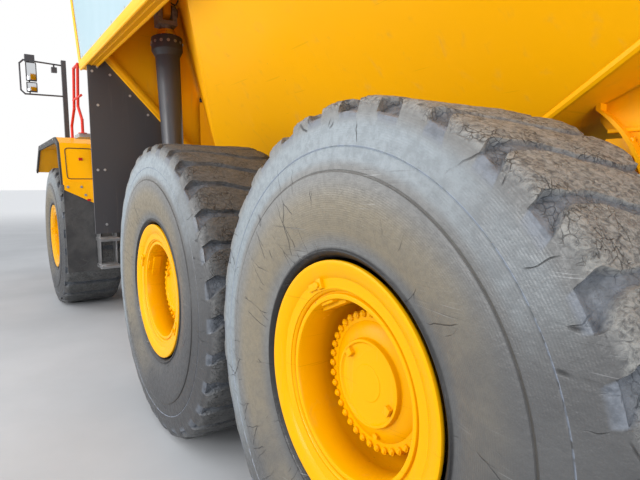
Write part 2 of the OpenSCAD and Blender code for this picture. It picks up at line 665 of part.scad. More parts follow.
// Each mirror frame is a bent tube on a post; it carries two mirrors and a work lamp.
mirror_x = front_axle_x + 499;
mirror_tip = fender_out + 225;
mirror_z = fender_top + 1140;
mirror_bar_r = 11;
module mirrors() {
  post_y = fender_out - 335;
  low = mirror_z - 430;
  glass_y = mirror_tip - 120;
  color(charcoal) both_sides() {
    box(mirror_x - 30, mirror_x + 30, post_y - 30, post_y + 30, fender_top + seat_gap, mirror_z + 70);
    bar([[mirror_x, post_y, mirror_z], [mirror_x, mirror_tip - 60, mirror_z + 20],
      [mirror_x, mirror_tip - 11, mirror_z - 30], [mirror_x, mirror_tip - 11, low + 40],
      [mirror_x, mirror_tip - 60, low - 10], [mirror_x, post_y, low]], mirror_bar_r);
    bar([[mirror_x, glass_y, low - 8], [mirror_x, glass_y, mirror_z + 16]], mirror_bar_r - 2);
    for (z = [[low + 20, low + 150], [low + 170, mirror_z - 10]])
      box(mirror_x - 45, mirror_x + 5, glass_y - 90, glass_y + 40, z[0], z[1]);
    box(mirror_x - 50, mirror_x + 30, glass_y - 75, glass_y + 45, mirror_z + 2, mirror_z + 90);
    box(mirror_x - 40, mirror_x + 25, post_y + 90, post_y + 160, mirror_z - 110, mirror_z - 40);
    box(mirror_x - 8, mirror_x + 8, post_y + 115, post_y + 135, mirror_z - 45, mirror_z);
  }
}
lamp_y = 830;
module headlamps() {
  color("#d8dade") both_sides() box(nose_x - 370, nose_x - 200, lamp_y, lamp_y + 240, 1260 + seat_gap, 1410);
}
module exhaust() {
  color(steel) translate([cab_front_x + 180, -hood_half - 220, fender_top + seat_gap]) cylinder(r = 75, h = 1150);
}
module tanks() {
  color(charcoal)
    box(flap_x - 290, flap_x - 25, -cab_half - 600, -cab_half - seat_gap, fender_top - 610, fender_top);
}

// Dump body: the section across and the profile along it, cut by the pockets of the hoist cylinders.
side_half = bed_w / 2 - rail_t;
chute_x = rear_axle_x - chute_start;
chute_tail_z = bed_floor_z + (chute_x - tail_x) * tan(chute_angle);
module bed_section(half_floor, half, z0, knee, top) {
  polygon([[-half_floor, z0], [half_floor, z0], [half, knee], [half, top], [-half, top], [-half, knee]]);
}
// Height of the sloping side at a distance from the centre plane
function slope_z(y) = bed_floor_z + (y - bed_floor_half) * (bed_knee_z - bed_floor_z) / (side_half - bed_floor_half);
guard_front = middle_axle_x + 2137;
front_knee_x = guard_front - 350;
front_knee_z = bed_knee_z - 100;
front_foot_x = guard_front - 1400;
pocket_front = guard_front - 580;
pocket_top = hoist_eye_z + 140;
facet_foot_x = middle_axle_x + facet_foot_dx;
facet_foot_y = bed_floor_half + 185;
facet_slope = tan(facet_turn);
facet_rise = tan(facet_lean) / cos(facet_turn);
// Distance of the turned side panel from the centre plane
function facet_y(x, z) = facet_foot_y - (x - facet_foot_x) * facet_slope + (z - slope_z(facet_foot_y)) * facet_rise;
// Underside of the floor and the chute
function under_z(x) = bed_floor_z + max(0, chute_x - x) * tan(chute_angle);
module bed_outer() {
  intersection() {
    translate([tail_x, 0, 0]) rotate([90, 0, 90]) linear_extrude(overall_len)
      bed_section(bed_floor_half, side_half, bed_floor_z, bed_knee_z, bed_guard_z);
    xz_plate([[tail_x, chute_tail_z], [chute_x, bed_floor_z], [front_foot_x, bed_floor_z],
      [front_knee_x, front_knee_z],
      [guard_front, bed_guard_z], [wing_top_back, bed_guard_z],
      [wing_top_back - 400, bed_top_z], [tail_x + 330, bed_top_z], [tail_x, chute_tail_z + 120]],
      -side_half, side_half);
  }
}
module bed_inner() {
  w = bed_wall;
  slope_w = w * 1.41;
  up = w / cos(chute_angle);
  intersection() {
    translate([tail_x - 100, 0, 0]) rotate([90, 0, 90]) linear_extrude(overall_len)
      bed_section(bed_floor_half - w * 0.4, side_half - w, bed_floor_z + w, bed_knee_z + w * 0.4, bed_guard_z + 100);
    xz_plate([[tail_x - 100, chute_tail_z + up + 100 * tan(chute_angle)], [chute_x, bed_floor_z + w],
      [front_foot_x - w * 0.4, bed_floor_z + w], [front_knee_x - slope_w * 0.75, front_knee_z + w * 0.5],
      [guard_front - w * 1.1, bed_guard_z], [guard_front - w, bed_guard_z + 100], [tail_x - 100, bed_guard_z + 100]],
      -side_half, side_half);
  }
}
// Room for a hoist cylinder: all that lies outboard of the turned side panel.
module pocket(grow) {
  reach = 4000;
  both_sides() intersection() {
    translate([facet_foot_x, facet_foot_y, slope_z(facet_foot_y)]) rotate([-facet_lean, 0, -facet_turn])
      translate([-reach, -grow, -reach]) cube([2 * reach, reach, 2 * reach]);
    box(wing_back, pocket_front + grow, 0, side_half + 1, bed_floor_z - 200, pocket_top + grow);
  }
}
// The wing starts a lap behind the place where the turned panel runs out at the side.
wing_lap = 118;
wing_rake = 250;
panel_run = side_half - facet_foot_y - (bed_knee_z - slope_z(facet_foot_y)) * facet_rise;
wing_back = facet_foot_x - panel_run / facet_slope - wing_lap;
wing_z0 = bed_knee_z - 100;
wing_top_back = wing_back + wing_rake;
module bed_shell() {
  color(yellow) {
    difference() {
      bed_outer();
      difference() {
        bed_inner();
        pocket(bed_wall);
      }
      pocket(0);
    }
    both_sides() {
      difference() {
        xz_plate([[wing_back, wing_z0], [front_knee_x, wing_z0], [guard_front, bed_guard_z],
          [wing_top_back, bed_guard_z], [wing_back, bed_guard_z - 220]], side_half, bed_w / 2);
        translate([0, bed_w / 2 + 10, 0]) rotate([90, 0, 0]) linear_extrude(sign_depth + 10) sign_outline(0);
      }
      box(tail_x + 330, wing_back, side_half, bed_w / 2, bed_top_z - 120, bed_top_z);
      box(tip_x + 100, front_foot_x - 50, beam_y - 130, beam_y - 10, beam_top + seat_gap, bed_floor_z + 5);
      tip_bracket();
      hoist_lug();
      pocket_front_plate();
    }
  }
}
// The bracket on each tipping pin has an arched front edge with a flange; a sill plate runs on to the tail.
module tip_bracket() {
  y0 = beam_y + beam_w / 2 + 6;
  top_front = tip_x + 310;
  top_back = tip_x - 130;
  sink = 10;
  arch_r = 520;
  difference() {
    xz_plate(concat([[top_back, under_z(top_back) + sink], [tip_x - 120, tip_z], [tip_x - 60, tip_z - 120],
      [tip_x + 60, tip_z - 120], [tip_x + 110, tip_z]],
      [for (a = [0 : 15 : 60]) [tip_x + 110 + arch_r * (1 - cos(a)) * 0.77, tip_z + arch_r * sin(a)]],
      [[top_front, under_z(top_front) + sink]]), y0, y0 + 80);
    y_rod(tip_x, tip_z, tip_pin_d / 2 + run_fit, beam_y, beam_y + 300);
  }
  xz_plate([[tip_x + 290, under_z(tip_x + 290) + sink], [tip_x + 330, under_z(tip_x + 330) + sink],
    [tip_x + 330, bed_floor_z + 70], [tip_x + 300, bed_floor_z + 30], [tip_x - 400, bed_floor_z + 30],
    [tip_x - 600, bed_floor_z + 160], [tip_x - 600, under_z(tip_x - 600) + sink]], y0 + 60, y0 + 80);
}
// The lug that each hoist fork holds hangs from the pocket's roof.
hoist_lug_t = 64;
module hoist_lug() {
  y0 = hoist_y - hoist_lug_t / 2;
  y1 = hoist_y + hoist_lug_t / 2;
  xz_plate([[hoist_eye_x - 75, pocket_top + 5], [hoist_eye_x - 57, hoist_eye_z], [hoist_eye_x + 57, hoist_eye_z],
    [hoist_eye_x + 75, pocket_top + 5]], y0, y1);
  y_rod(hoist_eye_x, hoist_eye_z, 57, y0, y1);
}
// The upright plate that closes the pocket's front follows the sloping side; a rim stiffens its edge.
front_plate_t = 25;
plate_foot_z = bed_knee_z - 285;
module pocket_front_plate() {
  foot = splash_in;
  function inner(z) = facet_y(pocket_front, z) - 20;
  yz_plate([[foot, slope_z(foot)], [side_half, bed_knee_z], [side_half, pocket_top],
    [inner(pocket_top), pocket_top],
    [inner(plate_foot_z), plate_foot_z], [foot, plate_foot_z]], pocket_front, pocket_front + front_plate_t);
  yz_plate([[foot, slope_z(foot)], [side_half, bed_knee_z], [side_half, bed_knee_z + 90],
    [foot, slope_z(foot) + 90]],
    pocket_front - 40, pocket_front);
}
splash_out = bed_w / 2 - 20;
splash_in = 700;
splash_z0 = 1180;
module splash_plates() {
  g = seat_gap;
  color(charcoal) both_sides() yz_plate([[splash_in, splash_z0], [splash_out, splash_z0], [splash_out, wing_z0 - g],
    [side_half - g, wing_z0 - g], [side_half - g, bed_knee_z - 3 * g], [splash_in, slope_z(splash_in) - 2 * g]],
    pocket_front, pocket_front + 18);
}
sign_depth = 10;
module sign_outline(inset) {
  i = inset;
  polygon([[wing_back + 90 + i, wing_z0 + 70 + i], [front_knee_x - 60 - i, wing_z0 + 70 + i],
    [guard_front - 100 - i, bed_guard_z - 70 - i], [wing_top_back + 30 + i, bed_guard_z - 70 - i],
    [wing_back + 90 + i, bed_guard_z - 270]]);
}
module sign_plates() {
  color("#cfe3ea") both_sides() translate([0, bed_w / 2 - sign_depth + seat_gap + 4, 0]) rotate([90, 0, 0])
    linear_extrude(4) sign_outline(seat_gap);
}

// Hoist cylinders lie along the line between their two eyes, in two stages.
hoist_dx = hoist_eye_x - hoist_base_x;
hoist_dz = hoist_eye_z - hoist_base_z;
hoist_len = sqrt(hoist_dx * hoist_dx + hoist_dz * hoist_dz);
hoist_lean = atan2(hoist_dx, hoist_dz);
gland_z = hoist_len - 215;
stop_gap = 6;
ring_t = 20;
module along_hoist(s) {
  translate([hoist_base_x, s * hoist_y, hoist_base_z]) rotate([0, hoist_lean, 0]) children();
}
neck_len = 900;
collar_t = 120;
module hoist_barrel(s) {
  eye_t = 150;
  r = hoist_barrel_d / 2;
  color(charcoal) along_hoist(s) difference() {
    union() {
      translate([0, 0, 70]) cylinder(r = r, h = gland_z - 70);
      translate([0, 0, gland_z - neck_len]) cylinder(r1 = r, r2 = hoist_neck_d / 2, h = neck_len - collar_t);
      translate([0, 0, gland_z - collar_t - 50]) cylinder(r1 = hoist_neck_d / 2, r2 = hoist_collar_d / 2, h = 50);
      translate([0, 0, gland_z - collar_t]) cylinder(r = hoist_collar_d / 2, h = collar_t - 14);
      translate([0, 0, gland_z - 15]) cylinder(r = hoist_collar_d / 2 - 26, h = 15);
      y_rod(0, 0, 78, -eye_t / 2, eye_t / 2);
      box(-60, 60, -eye_t / 2, eye_t / 2, 0, 90);
    }
    y_rod(0, 0, hoist_pin_d / 2 + run_fit, -eye_t, eye_t);
    translate([0, 0, 118]) cylinder(r = hoist_stage_a_d / 2 + run_fit, h = hoist_len);
  }
}
// A stage of outer diameter d holds the next one, of diameter inner_d; n counts inward from the barrel.
module hoist_stage(s, d, inner_d, n) {
  ring_z = gland_z + stop_gap + (n - 1) * (ring_t + stop_gap);
  foot_z = 124 + (n - 1) * 30;
  color(steel) along_hoist(s) difference() {
    union() {
      translate([0, 0, foot_z]) cylinder(r = d / 2, h = ring_z + ring_t - foot_z);
      translate([0, 0, ring_z]) cylinder(r = d / 2 + 8, h = ring_t);
    }
    translate([0, 0, foot_z + 26]) cylinder(r = inner_d / 2 + run_fit, h = hoist_len);
  }
}
module hoist_rod(s) {
  cheek_y = hoist_lug_t / 2 + 12;
  cheek_t = 36;
  cheek_r = 66;
  fork_z = hoist_len - 124;
  fork_t = 34;
  color(steel) along_hoist(s) {
    translate([0, 0, 186]) cylinder(r = hoist_rod_d / 2, h = fork_z - 185);
    box(-cheek_r, cheek_r, -cheek_y - cheek_t, cheek_y + cheek_t, fork_z, fork_z + fork_t);
    for (m = [0, 1]) mirror([0, m, 0]) {
      box(-cheek_r, cheek_r, cheek_y, cheek_y + cheek_t, fork_z, hoist_len);
      y_rod(0, hoist_len, cheek_r, cheek_y, cheek_y + cheek_t);
      y_rod(0, hoist_len, hoist_pin_d / 2, cheek_y, cheek_y + cheek_t + 14);
    }
  }
}

// Steering cylinders between the hitch and the front frame.
steer_len = steer_base_dx + steer_eye_dx;
steer_gland = 640;
steer_eye_half = steer_lug_gap - seat_gap;
module along_steer(s) {
  translate([steer_x - steer_base_dx, s * steer_y, steer_z]) rotate([0, 90, 0]) children();
}
module steer_barrel(s) {
  color(charcoal) along_steer(s) difference() {
    union() {
      translate([0, 0, 60]) cylinder(r = steer_barrel_d / 2, h = steer_gland - 60);
      rotate([0, 90, 0]) cylinder(r = 70, h = 2 * steer_eye_half, center = true);
      box(-steer_eye_half, steer_eye_half, -45, 45, 0, 70);
    }
    rotate([0, 90, 0]) cylinder(r = steer_eye_pin_r + run_fit, h = 200, center = true);
    translate([0, 0, 90]) cylinder(r = 32 + run_fit, h = steer_len);
  }
}
module steer_rod(s) {
  color(steel) along_steer(s) {
    translate([0, 0, 560]) cylinder(r = 32, h = steer_len - 600);
    translate([0, 0, steer_len]) rotate([0, 90, 0]) cylinder(r = 62, h = 2 * steer_eye_half, center = true);
  }
}

rear_frame();
bogie_beams();
axle_middle();
axle_rear();
tail_lamps();
hitch();
front_frame();
front_axle();
engine_block();
fender_panels();
fender_lips();
cab_shell();
cab_roof();
cab_glass();
cab_interior();
steps();
handrails();
mirrors();
headlamps();
exhaust();
tanks();
hood();
cab_door();
door_glass();
bed_shell();
splash_plates();
sign_plates();
hoist_barrel(1);  // hoist_barrel_left
hoist_barrel(-1);  // hoist_barrel_right
hoist_stage(1, hoist_stage_a_d, hoist_stage_b_d, 1);  // hoist_stage_a_left
hoist_stage(-1, hoist_stage_a_d, hoist_stage_b_d, 1);  // hoist_stage_a_right
hoist_stage(1, hoist_stage_b_d, hoist_rod_d, 2);  // hoist_stage_b_left
hoist_stage(-1, hoist_stage_b_d, hoist_rod_d, 2);  // hoist_stage_b_right
hoist_rod(1);  // hoist_rod_left
hoist_rod(-1);  // hoist_rod_right
steer_barrel(1);  // steer_barrel_left
steer_barrel(-1);  // steer_barrel_right
steer_rod(1);  // steer_rod_left
steer_rod(-1);  // steer_rod_right
tyre_at(front_axle_x, 1, groove_front);  // tyre_front_left
tyre_at(front_axle_x, -1, groove_front);  // tyre_front_right
tyre_at(middle_axle_x, 1, groove_middle);  // tyre_middle_left
tyre_at(middle_axle_x, -1, groove_middle);  // tyre_middle_right
tyre_at(rear_axle_x, 1, groove_rear);  // tyre_rear_left
tyre_at(rear_axle_x, -1, groove_rear);  // tyre_rear_right
rim_at(front_axle_x, 1);  // rim_front_left
rim_at(front_axle_x, -1);  // rim_front_right
rim_at(middle_axle_x, 1);  // rim_middle_left
rim_at(middle_axle_x, -1);  // rim_middle_right
rim_at(rear_axle_x, 1);  // rim_rear_left
rim_at(rear_axle_x, -1);  // rim_rear_right
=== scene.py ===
import math
import random

import bmesh
import bpy
from mathutils import Matrix, Vector, noise


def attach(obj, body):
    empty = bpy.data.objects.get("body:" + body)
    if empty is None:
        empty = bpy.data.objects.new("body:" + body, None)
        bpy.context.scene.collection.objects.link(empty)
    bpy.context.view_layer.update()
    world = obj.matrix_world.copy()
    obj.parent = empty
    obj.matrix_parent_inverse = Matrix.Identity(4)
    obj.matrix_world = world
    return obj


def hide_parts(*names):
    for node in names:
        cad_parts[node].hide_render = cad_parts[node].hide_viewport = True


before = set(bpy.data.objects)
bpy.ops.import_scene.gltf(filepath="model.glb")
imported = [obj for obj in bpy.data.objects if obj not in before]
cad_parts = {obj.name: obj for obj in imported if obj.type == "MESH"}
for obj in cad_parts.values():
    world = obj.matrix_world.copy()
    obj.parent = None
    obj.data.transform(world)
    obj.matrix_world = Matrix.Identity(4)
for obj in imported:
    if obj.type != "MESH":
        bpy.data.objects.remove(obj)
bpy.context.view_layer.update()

RNG = random.Random(7)

# Places that the pieces share, in metres
FRONT_X, MIDDLE_X, REAR_X = 2.531, -1.987, -3.927
HUB_Z = 0.93
WHEEL_Y = 1.318
HOIST_EYE = (-0.708, 3.090)
TIP_X, TIP_Z = -4.497, 1.42
BOGIE_X, BOGIE_Z = -2.957, 1.190
EXHAUST_X, EXHAUST_Y = 2.880, -1.000
MIRROR_Y = 1.770
HOOD_HALF = 0.780
CAB_SEAL_Y = 0.801
SIDES = (("left", 1), ("right", -1))
AXLES = {"front": FRONT_X, "middle": MIDDLE_X, "rear": REAR_X}


# Small mesh builders

def place(name, mesh, material, body, smooth=True, sharp=35.0):
    """The mesh as an object that rides on a body; faces over the sharp angle keep their edge."""
    mesh.materials.append(material)
    if smooth:
        mesh.polygons.foreach_set("use_smooth", [True] * len(mesh.polygons))
        mesh.set_sharp_from_angle(angle=math.radians(sharp))
    obj = bpy.data.objects.new(name, mesh)
    bpy.context.scene.collection.objects.link(obj)
    if body:
        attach(obj, body)
    return obj


def mesh_of(name, bm):
    bmesh.ops.recalc_face_normals(bm, faces=bm.faces)
    mesh = bpy.data.meshes.new(name)
    bm.to_mesh(mesh)
    bm.free()
    return mesh


def joined(name, bm, material, body, smooth=True):
    """The bmesh as one object that rides on a body."""
    return place(name, mesh_of(name, bm), material, body, smooth)


def add_box(bm, low, high, bevel=0.0, turn=None):
    """A box between two corners, with rounded edges; turn moves it afterwards."""
    size = Vector(high) - Vector(low)
    middle = (Vector(high) + Vector(low)) / 2
    matrix = Matrix.Translation(middle) @ Matrix.Diagonal((*size, 1))
    made = bmesh.ops.create_cube(bm, size=1.0, matrix=matrix)["verts"]
    if bevel:
        edges = list(dict.fromkeys(e for v in made for e in v.link_edges))
        made = bmesh.ops.bevel(bm, geom=edges, offset=bevel, segments=2, affect="EDGES", profile=0.6)["verts"]
    if turn:
        bmesh.ops.transform(bm, matrix=turn, verts=made)


def add_slab(bm, x, y, half, z, bevel):
    """A box between two x and two z that reaches half to each side of y."""
    add_box(bm, (x[0], y - half, z[0]), (x[1], y + half, z[1]), bevel)


def add_rod(bm, start, end, r, sides, r_end=None):
    """A round rod with flat ends between two points."""
    start, end = Vector(start), Vector(end)
    axis = end - start
    turn = axis.to_track_quat("Z", "Y").to_matrix().to_4x4()
    matrix = Matrix.Translation((start + end) / 2) @ turn
    r_end = r if r_end is None else r_end
    return bmesh.ops.create_cone(bm, cap_ends=True, segments=sides, radius1=r, radius2=r_end,
                                 depth=axis.length, matrix=matrix)["verts"]


def round_circle(count, offset=0.0):
    """Sine and cosine of that many angles, spread evenly over a circle."""
    return [(math.sin(a), math.cos(a)) for a in (2 * math.pi * (k + offset) / count for k in range(count))]


def add_lathe(bm, profile, steps, turn):
    """A ring about Z from a closed outline of (radius, height) pairs, then turned."""
    rings = [[bm.verts.new((r * cosine, r * sine, z)) for r, z in profile]
             for sine, cosine in round_circle(steps)]
    count = len(profile)
    for i in range(steps):
        near, far = rings[i], rings[(i + 1) % steps]
        for k in range(count):
            bm.faces.new((near[k], far[k], far[(k + 1) % count], near[(k + 1) % count]))
    bmesh.ops.transform(bm, matrix=turn, verts=[v for ring in rings for v in ring])


def add_tube(bm, points, r, sides, bend=0.0):
    """A pipe along points, whose corners are rounded to the bend radius."""
    path = rounded(points, bend) if bend else [Vector(p) for p in points]
    rings = []
    normal = None
    for i, p in enumerate(path):
        ahead = (path[min(i + 1, len(path) - 1)] - path[max(i - 1, 0)]).normalized()
        if normal is None:
            normal = ahead.orthogonal().normalized()
        normal = (normal - ahead * normal.dot(ahead)).normalized()
        side = ahead.cross(normal)
        rings.append([bm.verts.new(p + r * (cosine * normal + sine * side))
                      for sine, cosine in round_circle(sides)])
    for near, far in zip(rings, rings[1:]):
        for k in range(sides):
            bm.faces.new((near[k], near[(k + 1) % sides], far[(k + 1) % sides], far[k]))
    bm.faces.new(rings[0][::-1])
    bm.faces.new(rings[-1])


def rounded(points, radius):
    """The points with each inner corner replaced by a curve."""
    pts = [Vector(p) for p in points]
    path = [pts[0]]
    for before, corner, after in zip(pts, pts[1:], pts[2:]):
        cut = min(radius, (corner - before).length / 2, (after - corner).length / 2)
        a = corner + (before - corner).normalized() * cut
        b = corner + (after - corner).normalized() * cut
        for t in (0.0, 0.2, 0.4, 0.6, 0.8, 1.0):
            path.append(a * (1 - t) ** 2 + corner * 2 * t * (1 - t) + b * t ** 2)
    return path + [pts[-1]]


def add_plate(bm, outline, start, thickness):
    """A flat plate from an outline of (x, z), thickened along Y from start."""
    near = [bm.verts.new((x, start, z)) for x, z in outline]
    far = [bm.verts.new((x, start + thickness, z)) for x, z in outline]
    bm.faces.new(near)
    bm.faces.new(far[::-1])
    for k in range(len(outline)):
        m = (k + 1) % len(outline)
        bm.faces.new((near[k], near[m], far[m], far[k]))


# Materials

class Tree:
    """A node tree, built by short calls that give back the new node's output."""

    def __init__(self, tree):
        self.nodes = tree.nodes
        self.links = tree.links
        self.place = None

    def link(self, value, socket):
        if hasattr(value, "is_output"):
            self.links.new(value, socket)
        elif isinstance(value, tuple) and len(value) == 3 and socket.type == "RGBA":
            socket.default_value = (*value, 1)
        else:
            socket.default_value = value

    def node(self, kind, output, values, **settings):
        """A node with its settings, and its inputs linked or set from values."""
        node = self.nodes.new("ShaderNode" + kind)
        for key, setting in settings.items():
            setattr(node, key, setting)
        for key, value in values.items():
            self.link(value, node.inputs[key])
        return node.outputs if output is None else node.outputs[output]

    def math(self, kind, a, b=0.0, clamp=False):
        return self.node("Math", 0, {0: a, 1: b}, operation=kind, use_clamp=clamp)

    def plus(self, a, b):
        return self.math("ADD", a, b)

    def minus(self, a, b):
        return self.math("SUBTRACT", a, b)

    def times(self, a, b):
        return self.math("MULTIPLY", a, b)

    def length(self, a, b):
        """The distance from the axis of a point that lies a and b away from it."""
        return self.math("SQRT", self.plus(self.times(a, a), self.times(b, b)))

    def between(self, value, low, high, out_low=0.0, out_high=1.0):
        """value from low..high mapped smoothly to out_low..out_high."""
        ends = {"From Min": low, "From Max": high, "To Min": out_low, "To Max": out_high}
        return self.node("MapRange", "Result", {"Value": value, **ends}, interpolation_type="SMOOTHSTEP")

    def mix(self, share, a, b):
        return self.node("Mix", "Result", {"Factor": share, "A": a, "B": b}, data_type="RGBA")

    def vector(self, kind, values):
        return self.node("VectorMath", 0, values, operation=kind)

    def scaled(self, scale, turn=(0, 0, 0)):
        return self.node("Mapping", "Vector", {"Vector": self.place, "Scale": scale, "Rotation": turn})

    def noise(self, scale, detail=4.0, rough=0.55, bend=0.0, vector=None, output="Fac"):
        grain = {"Scale": scale, "Detail": detail, "Roughness": rough, "Distortion": bend}
        return self.node("TexNoise", output, {"Vector": vector or self.place, **grain})

    def cells(self, scale, feature="F1", vector=None, random_place=1.0):
        values = {"Vector": vector or self.place, "Scale": scale, "Randomness": random_place}
        return self.node("TexVoronoi", "Distance", values, feature=feature)

    def split(self, vector=None):
        return self.node("SeparateXYZ", None, {0: vector or self.place})

    def streaks(self, turn, along, across, low, high):
        """Thin parallel scratches; turn is the angle about Y, in degrees."""
        stretched = self.scaled((along, along, across), (0, math.radians(turn), 0))
        return self.between(self.noise(1.0, 1.0, 0.5, 0.25, stretched), low, high)

    def warped(self, scale, amount):
        """The object place pushed about by noise, for cracks that wander."""
        drift = self.noise(scale, 2.0, 0.5, output="Color")
        centred = self.vector("SUBTRACT", {0: drift, 1: (0.5, 0.5, 0.5)})
        return self.vector("ADD", {0: self.place, 1: self.vector("SCALE", {0: centred, "Scale": amount})})


class Shade(Tree):
    """A material with one glossy shader; bend is a normal that the bumps start from."""

    def __init__(self, name, rough, metal, color, specular, coat=0.0):
        self.mat = bpy.data.materials.new(name)
        self.mat.use_nodes = True
        super().__init__(self.mat.node_tree)
        self.bsdf = self.nodes["Principled BSDF"]
        self.put({"Roughness": rough, "Metallic": metal, "Base Color": color, "Specular IOR Level": specular,
                  "Coat Weight": coat, "Coat Roughness": 0.12})
        self.place = self.node("TexCoord", "Object", {})
        self.bend = None

    def put(self, values):
        for key, value in values.items():
            self.link(value, self.bsdf.inputs[key])

    def finish(self, color=None, rough=None, height=None, depth=0.001, strength=1.0):
        bump = None
        if height is not None:
            values = {"Strength": strength, "Distance": depth, "Height": height}
            if self.bend:
                values["Normal"] = self.bend
            bump = self.node("Bump", "Normal", values)
        made = {"Base Color": color, "Roughness": rough, "Normal": bump}
        self.put({key: value for key, value in made.items() if value is not None})
        return self.mat


def dim(color, share):
    return tuple(share * c for c in color)


def paint(name, color, grime, rough=0.36, chips=0.5, streaks=0.2, coat=0.03, specular=0.14,
          worn_inside=False):
    """Sprayed machine paint with soft fading, dust in streaks, small chips and orange peel."""
    s = Shade(name, rough, 0.0, color, specular, coat)
    fade = s.between(s.noise(0.9, 3.0), 0.35, 0.7)
    dark = dim(color, 0.93)
    base = s.mix(s.times(fade, 0.5), color, dark)
    run = s.noise(5.0, 5.0, 0.6, 0.4, s.scaled((3.0, 3.0, 0.35)))
    dust = s.times(s.between(run, 0.56, 0.80), streaks)
    base = s.mix(dust, base, grime)
    speck = s.cells(26.0, vector=s.warped(9.0, 0.05))
    patch = s.between(s.noise(2.2, 2.0), 0.60, 0.7)
    chip = s.times(s.between(speck, 0.09, 0.05), s.times(patch, chips))
    base = s.mix(chip, base, (0.10, 0.075, 0.05))
    scratch = s.streaks(35.0, 2.2, 90.0, 0.735, 0.75)
    base = s.mix(s.times(scratch, 0.4 * chips), base, dim(color, 0.55))
    sheen = s.between(fade, 0.0, 1.0, rough - 0.04, rough + 0.12)
    if worn_inside:
        s.bend = s.node("Bevel", "Normal", {"Radius": 0.07}, samples=4)
        base = s.mix(bed_wear(s), base, s.mix(run, (0.20, 0.165, 0.13), (0.34, 0.32, 0.30)))
    peel = s.plus(s.times(s.noise(240.0, 1.0), 0.2), s.noise(12.0, 2.0))
    return s.finish(base, s.math("ADD", sheen, s.times(dust, 0.5), clamp=True), peel, 0.0012, 0.3)


def bed_wear(s):
    """Share of bare, scraped steel: faces of the body that look up or inward, with a ragged upper edge."""
    _, ny, nz = s.split(s.node("NewGeometry", "Normal", {}))
    _, y, z = s.split()
    inward = s.times(s.times(s.math("SIGN", y), ny), -1.0)
    up = s.math("MAXIMUM", s.between(nz, 0.25, 0.40), s.between(inward, 0.45, 0.60))
    ragged = s.plus(z, s.times(s.noise(3.0, 5.0, 0.65), 0.7))
    inside = s.times(s.between(s.math("ABSOLUTE", y), 1.60, 1.56), s.between(ragged, 3.75, 3.45))
    loaded = s.times(up, inside)
    return s.times(loaded, s.between(s.noise(7.0, 5.0, 0.7), 0.25, 0.45))


def rubber(name, base, dusty, rough=0.62):
    s = Shade(name, rough, 0.0, base, 0.35)
    cloud = s.between(s.noise(3.0, 6.0, 0.6, 0.6), 0.35, 0.72)
    fine = s.between(s.noise(60.0, 4.0, 0.7), 0.35, 0.7)
    tone = s.mix(s.times(cloud, 0.55), base, dusty)
    tone = s.mix(s.times(fine, 0.18), tone, dim(base, 0.5))
    mark = s.cells(9.0, "DISTANCE_TO_EDGE", s.warped(3.0, 0.35))
    pale = s.times(s.between(mark, 0.012, 0.002), s.between(s.noise(4.0), 0.5, 0.65))
    tone = s.mix(s.times(pale, 0.6), tone, dusty)
    gloss = s.between(cloud, 0.0, 1.0, rough - 0.08, rough + 0.15)
    return s.finish(tone, gloss, s.noise(90.0, 5.0, 0.7), 0.002, 0.5)


def metal(name, color, rough, scale=30.0, worn=0.4):
    s = Shade(name, rough, 1.0, color, 0.5)
    grain = s.noise(scale, 6.0, 0.7, 0.0, s.scaled((1.0, 1.0, 6.0)))
    blot = s.between(s.noise(5.0, 4.0), 0.4, 0.7)
    tone = s.mix(s.times(blot, worn), color, dim(color, 0.45))
    gloss = s.between(grain, 0.3, 0.7, rough * 0.7, min(1.0, rough * 1.5 + 0.05))
    return s.finish(tone, gloss, grain, 0.0008, 0.25)


def rod_steel():
    """Chromed hoist rod whose fork, around the upper eye, is grey cast steel."""
    shine = (0.78, 0.79, 0.81)
    s = Shade("rod_steel", 0.12, 1.0, shine, 0.5)
    x, _, z = s.split()
    away = s.length(s.minus(x, HOIST_EYE[0]), s.minus(z, HOIST_EYE[1]))
    fork = s.between(away, 0.170, 0.160)
    grain = s.noise(22.0, 5.0, 0.7)
    cast = s.mix(s.between(grain, 0.35, 0.70), (0.300, 0.296, 0.290), (0.150, 0.145, 0.138))
    s.put({"Metallic": s.between(fork, 0.0, 1.0, 1.0, 0.15)})
    return s.finish(s.mix(fork, shine, cast), s.between(fork, 0.0, 1.0, 0.12, 0.60), grain, 0.0012, 0.35)


YELLOW = (0.97, 0.440, 0.002)
# Painted shade: the rim yellow is the body yellow darkened, so that the rims, which the lamps light more
# strongly, come out no brighter than the body.
RIM_YELLOW = (0.77, 0.358, 0.0)
body_paint = paint("body_paint", YELLOW, (0.42, 0.27, 0.09))
bed_paint = paint("bed_paint", YELLOW, (0.42, 0.27, 0.09), worn_inside=True)
rim_paint = paint("rim_paint", RIM_YELLOW, (0.36, 0.22, 0.06), 0.30, 0.8, 0.25, 0.02, 0.10)
cab_paint = paint("cab_paint", (0.92, 0.39, 0.004), (0.40, 0.27, 0.11))
dark_paint = paint("dark_paint", (0.045, 0.045, 0.052), (0.16, 0.145, 0.13), 0.42, 0.4, 0.4, 0.05, 0.4)
frame_paint = paint("frame_paint", (0.055, 0.056, 0.060), (0.17, 0.15, 0.125), 0.5, 0.7, 0.75, 0.0, 0.35)
red_paint = paint("red_paint", (0.60, 0.035, 0.02), (0.30, 0.12, 0.08), 0.35, 0.8, 0.3)
white_paint = paint("white_paint", (0.60, 0.60, 0.585), (0.40, 0.36, 0.30), 0.32, 0.3, 0.3)
plate_paint = paint("plate_paint", (0.31, 0.43, 0.48), (0.50, 0.47, 0.42), 0.3, 0.15, 0.25)
flap_rubber = rubber("flap_rubber", (0.030, 0.030, 0.032), (0.12, 0.115, 0.11))
seal_rubber = rubber("seal_rubber", (0.018, 0.018, 0.019), (0.06, 0.06, 0.058), 0.5)
grey_steel = metal("grey_steel", (0.46, 0.46, 0.47), 0.42)
chrome = metal("chrome", (0.78, 0.79, 0.81), 0.12, 60.0, 0.12)


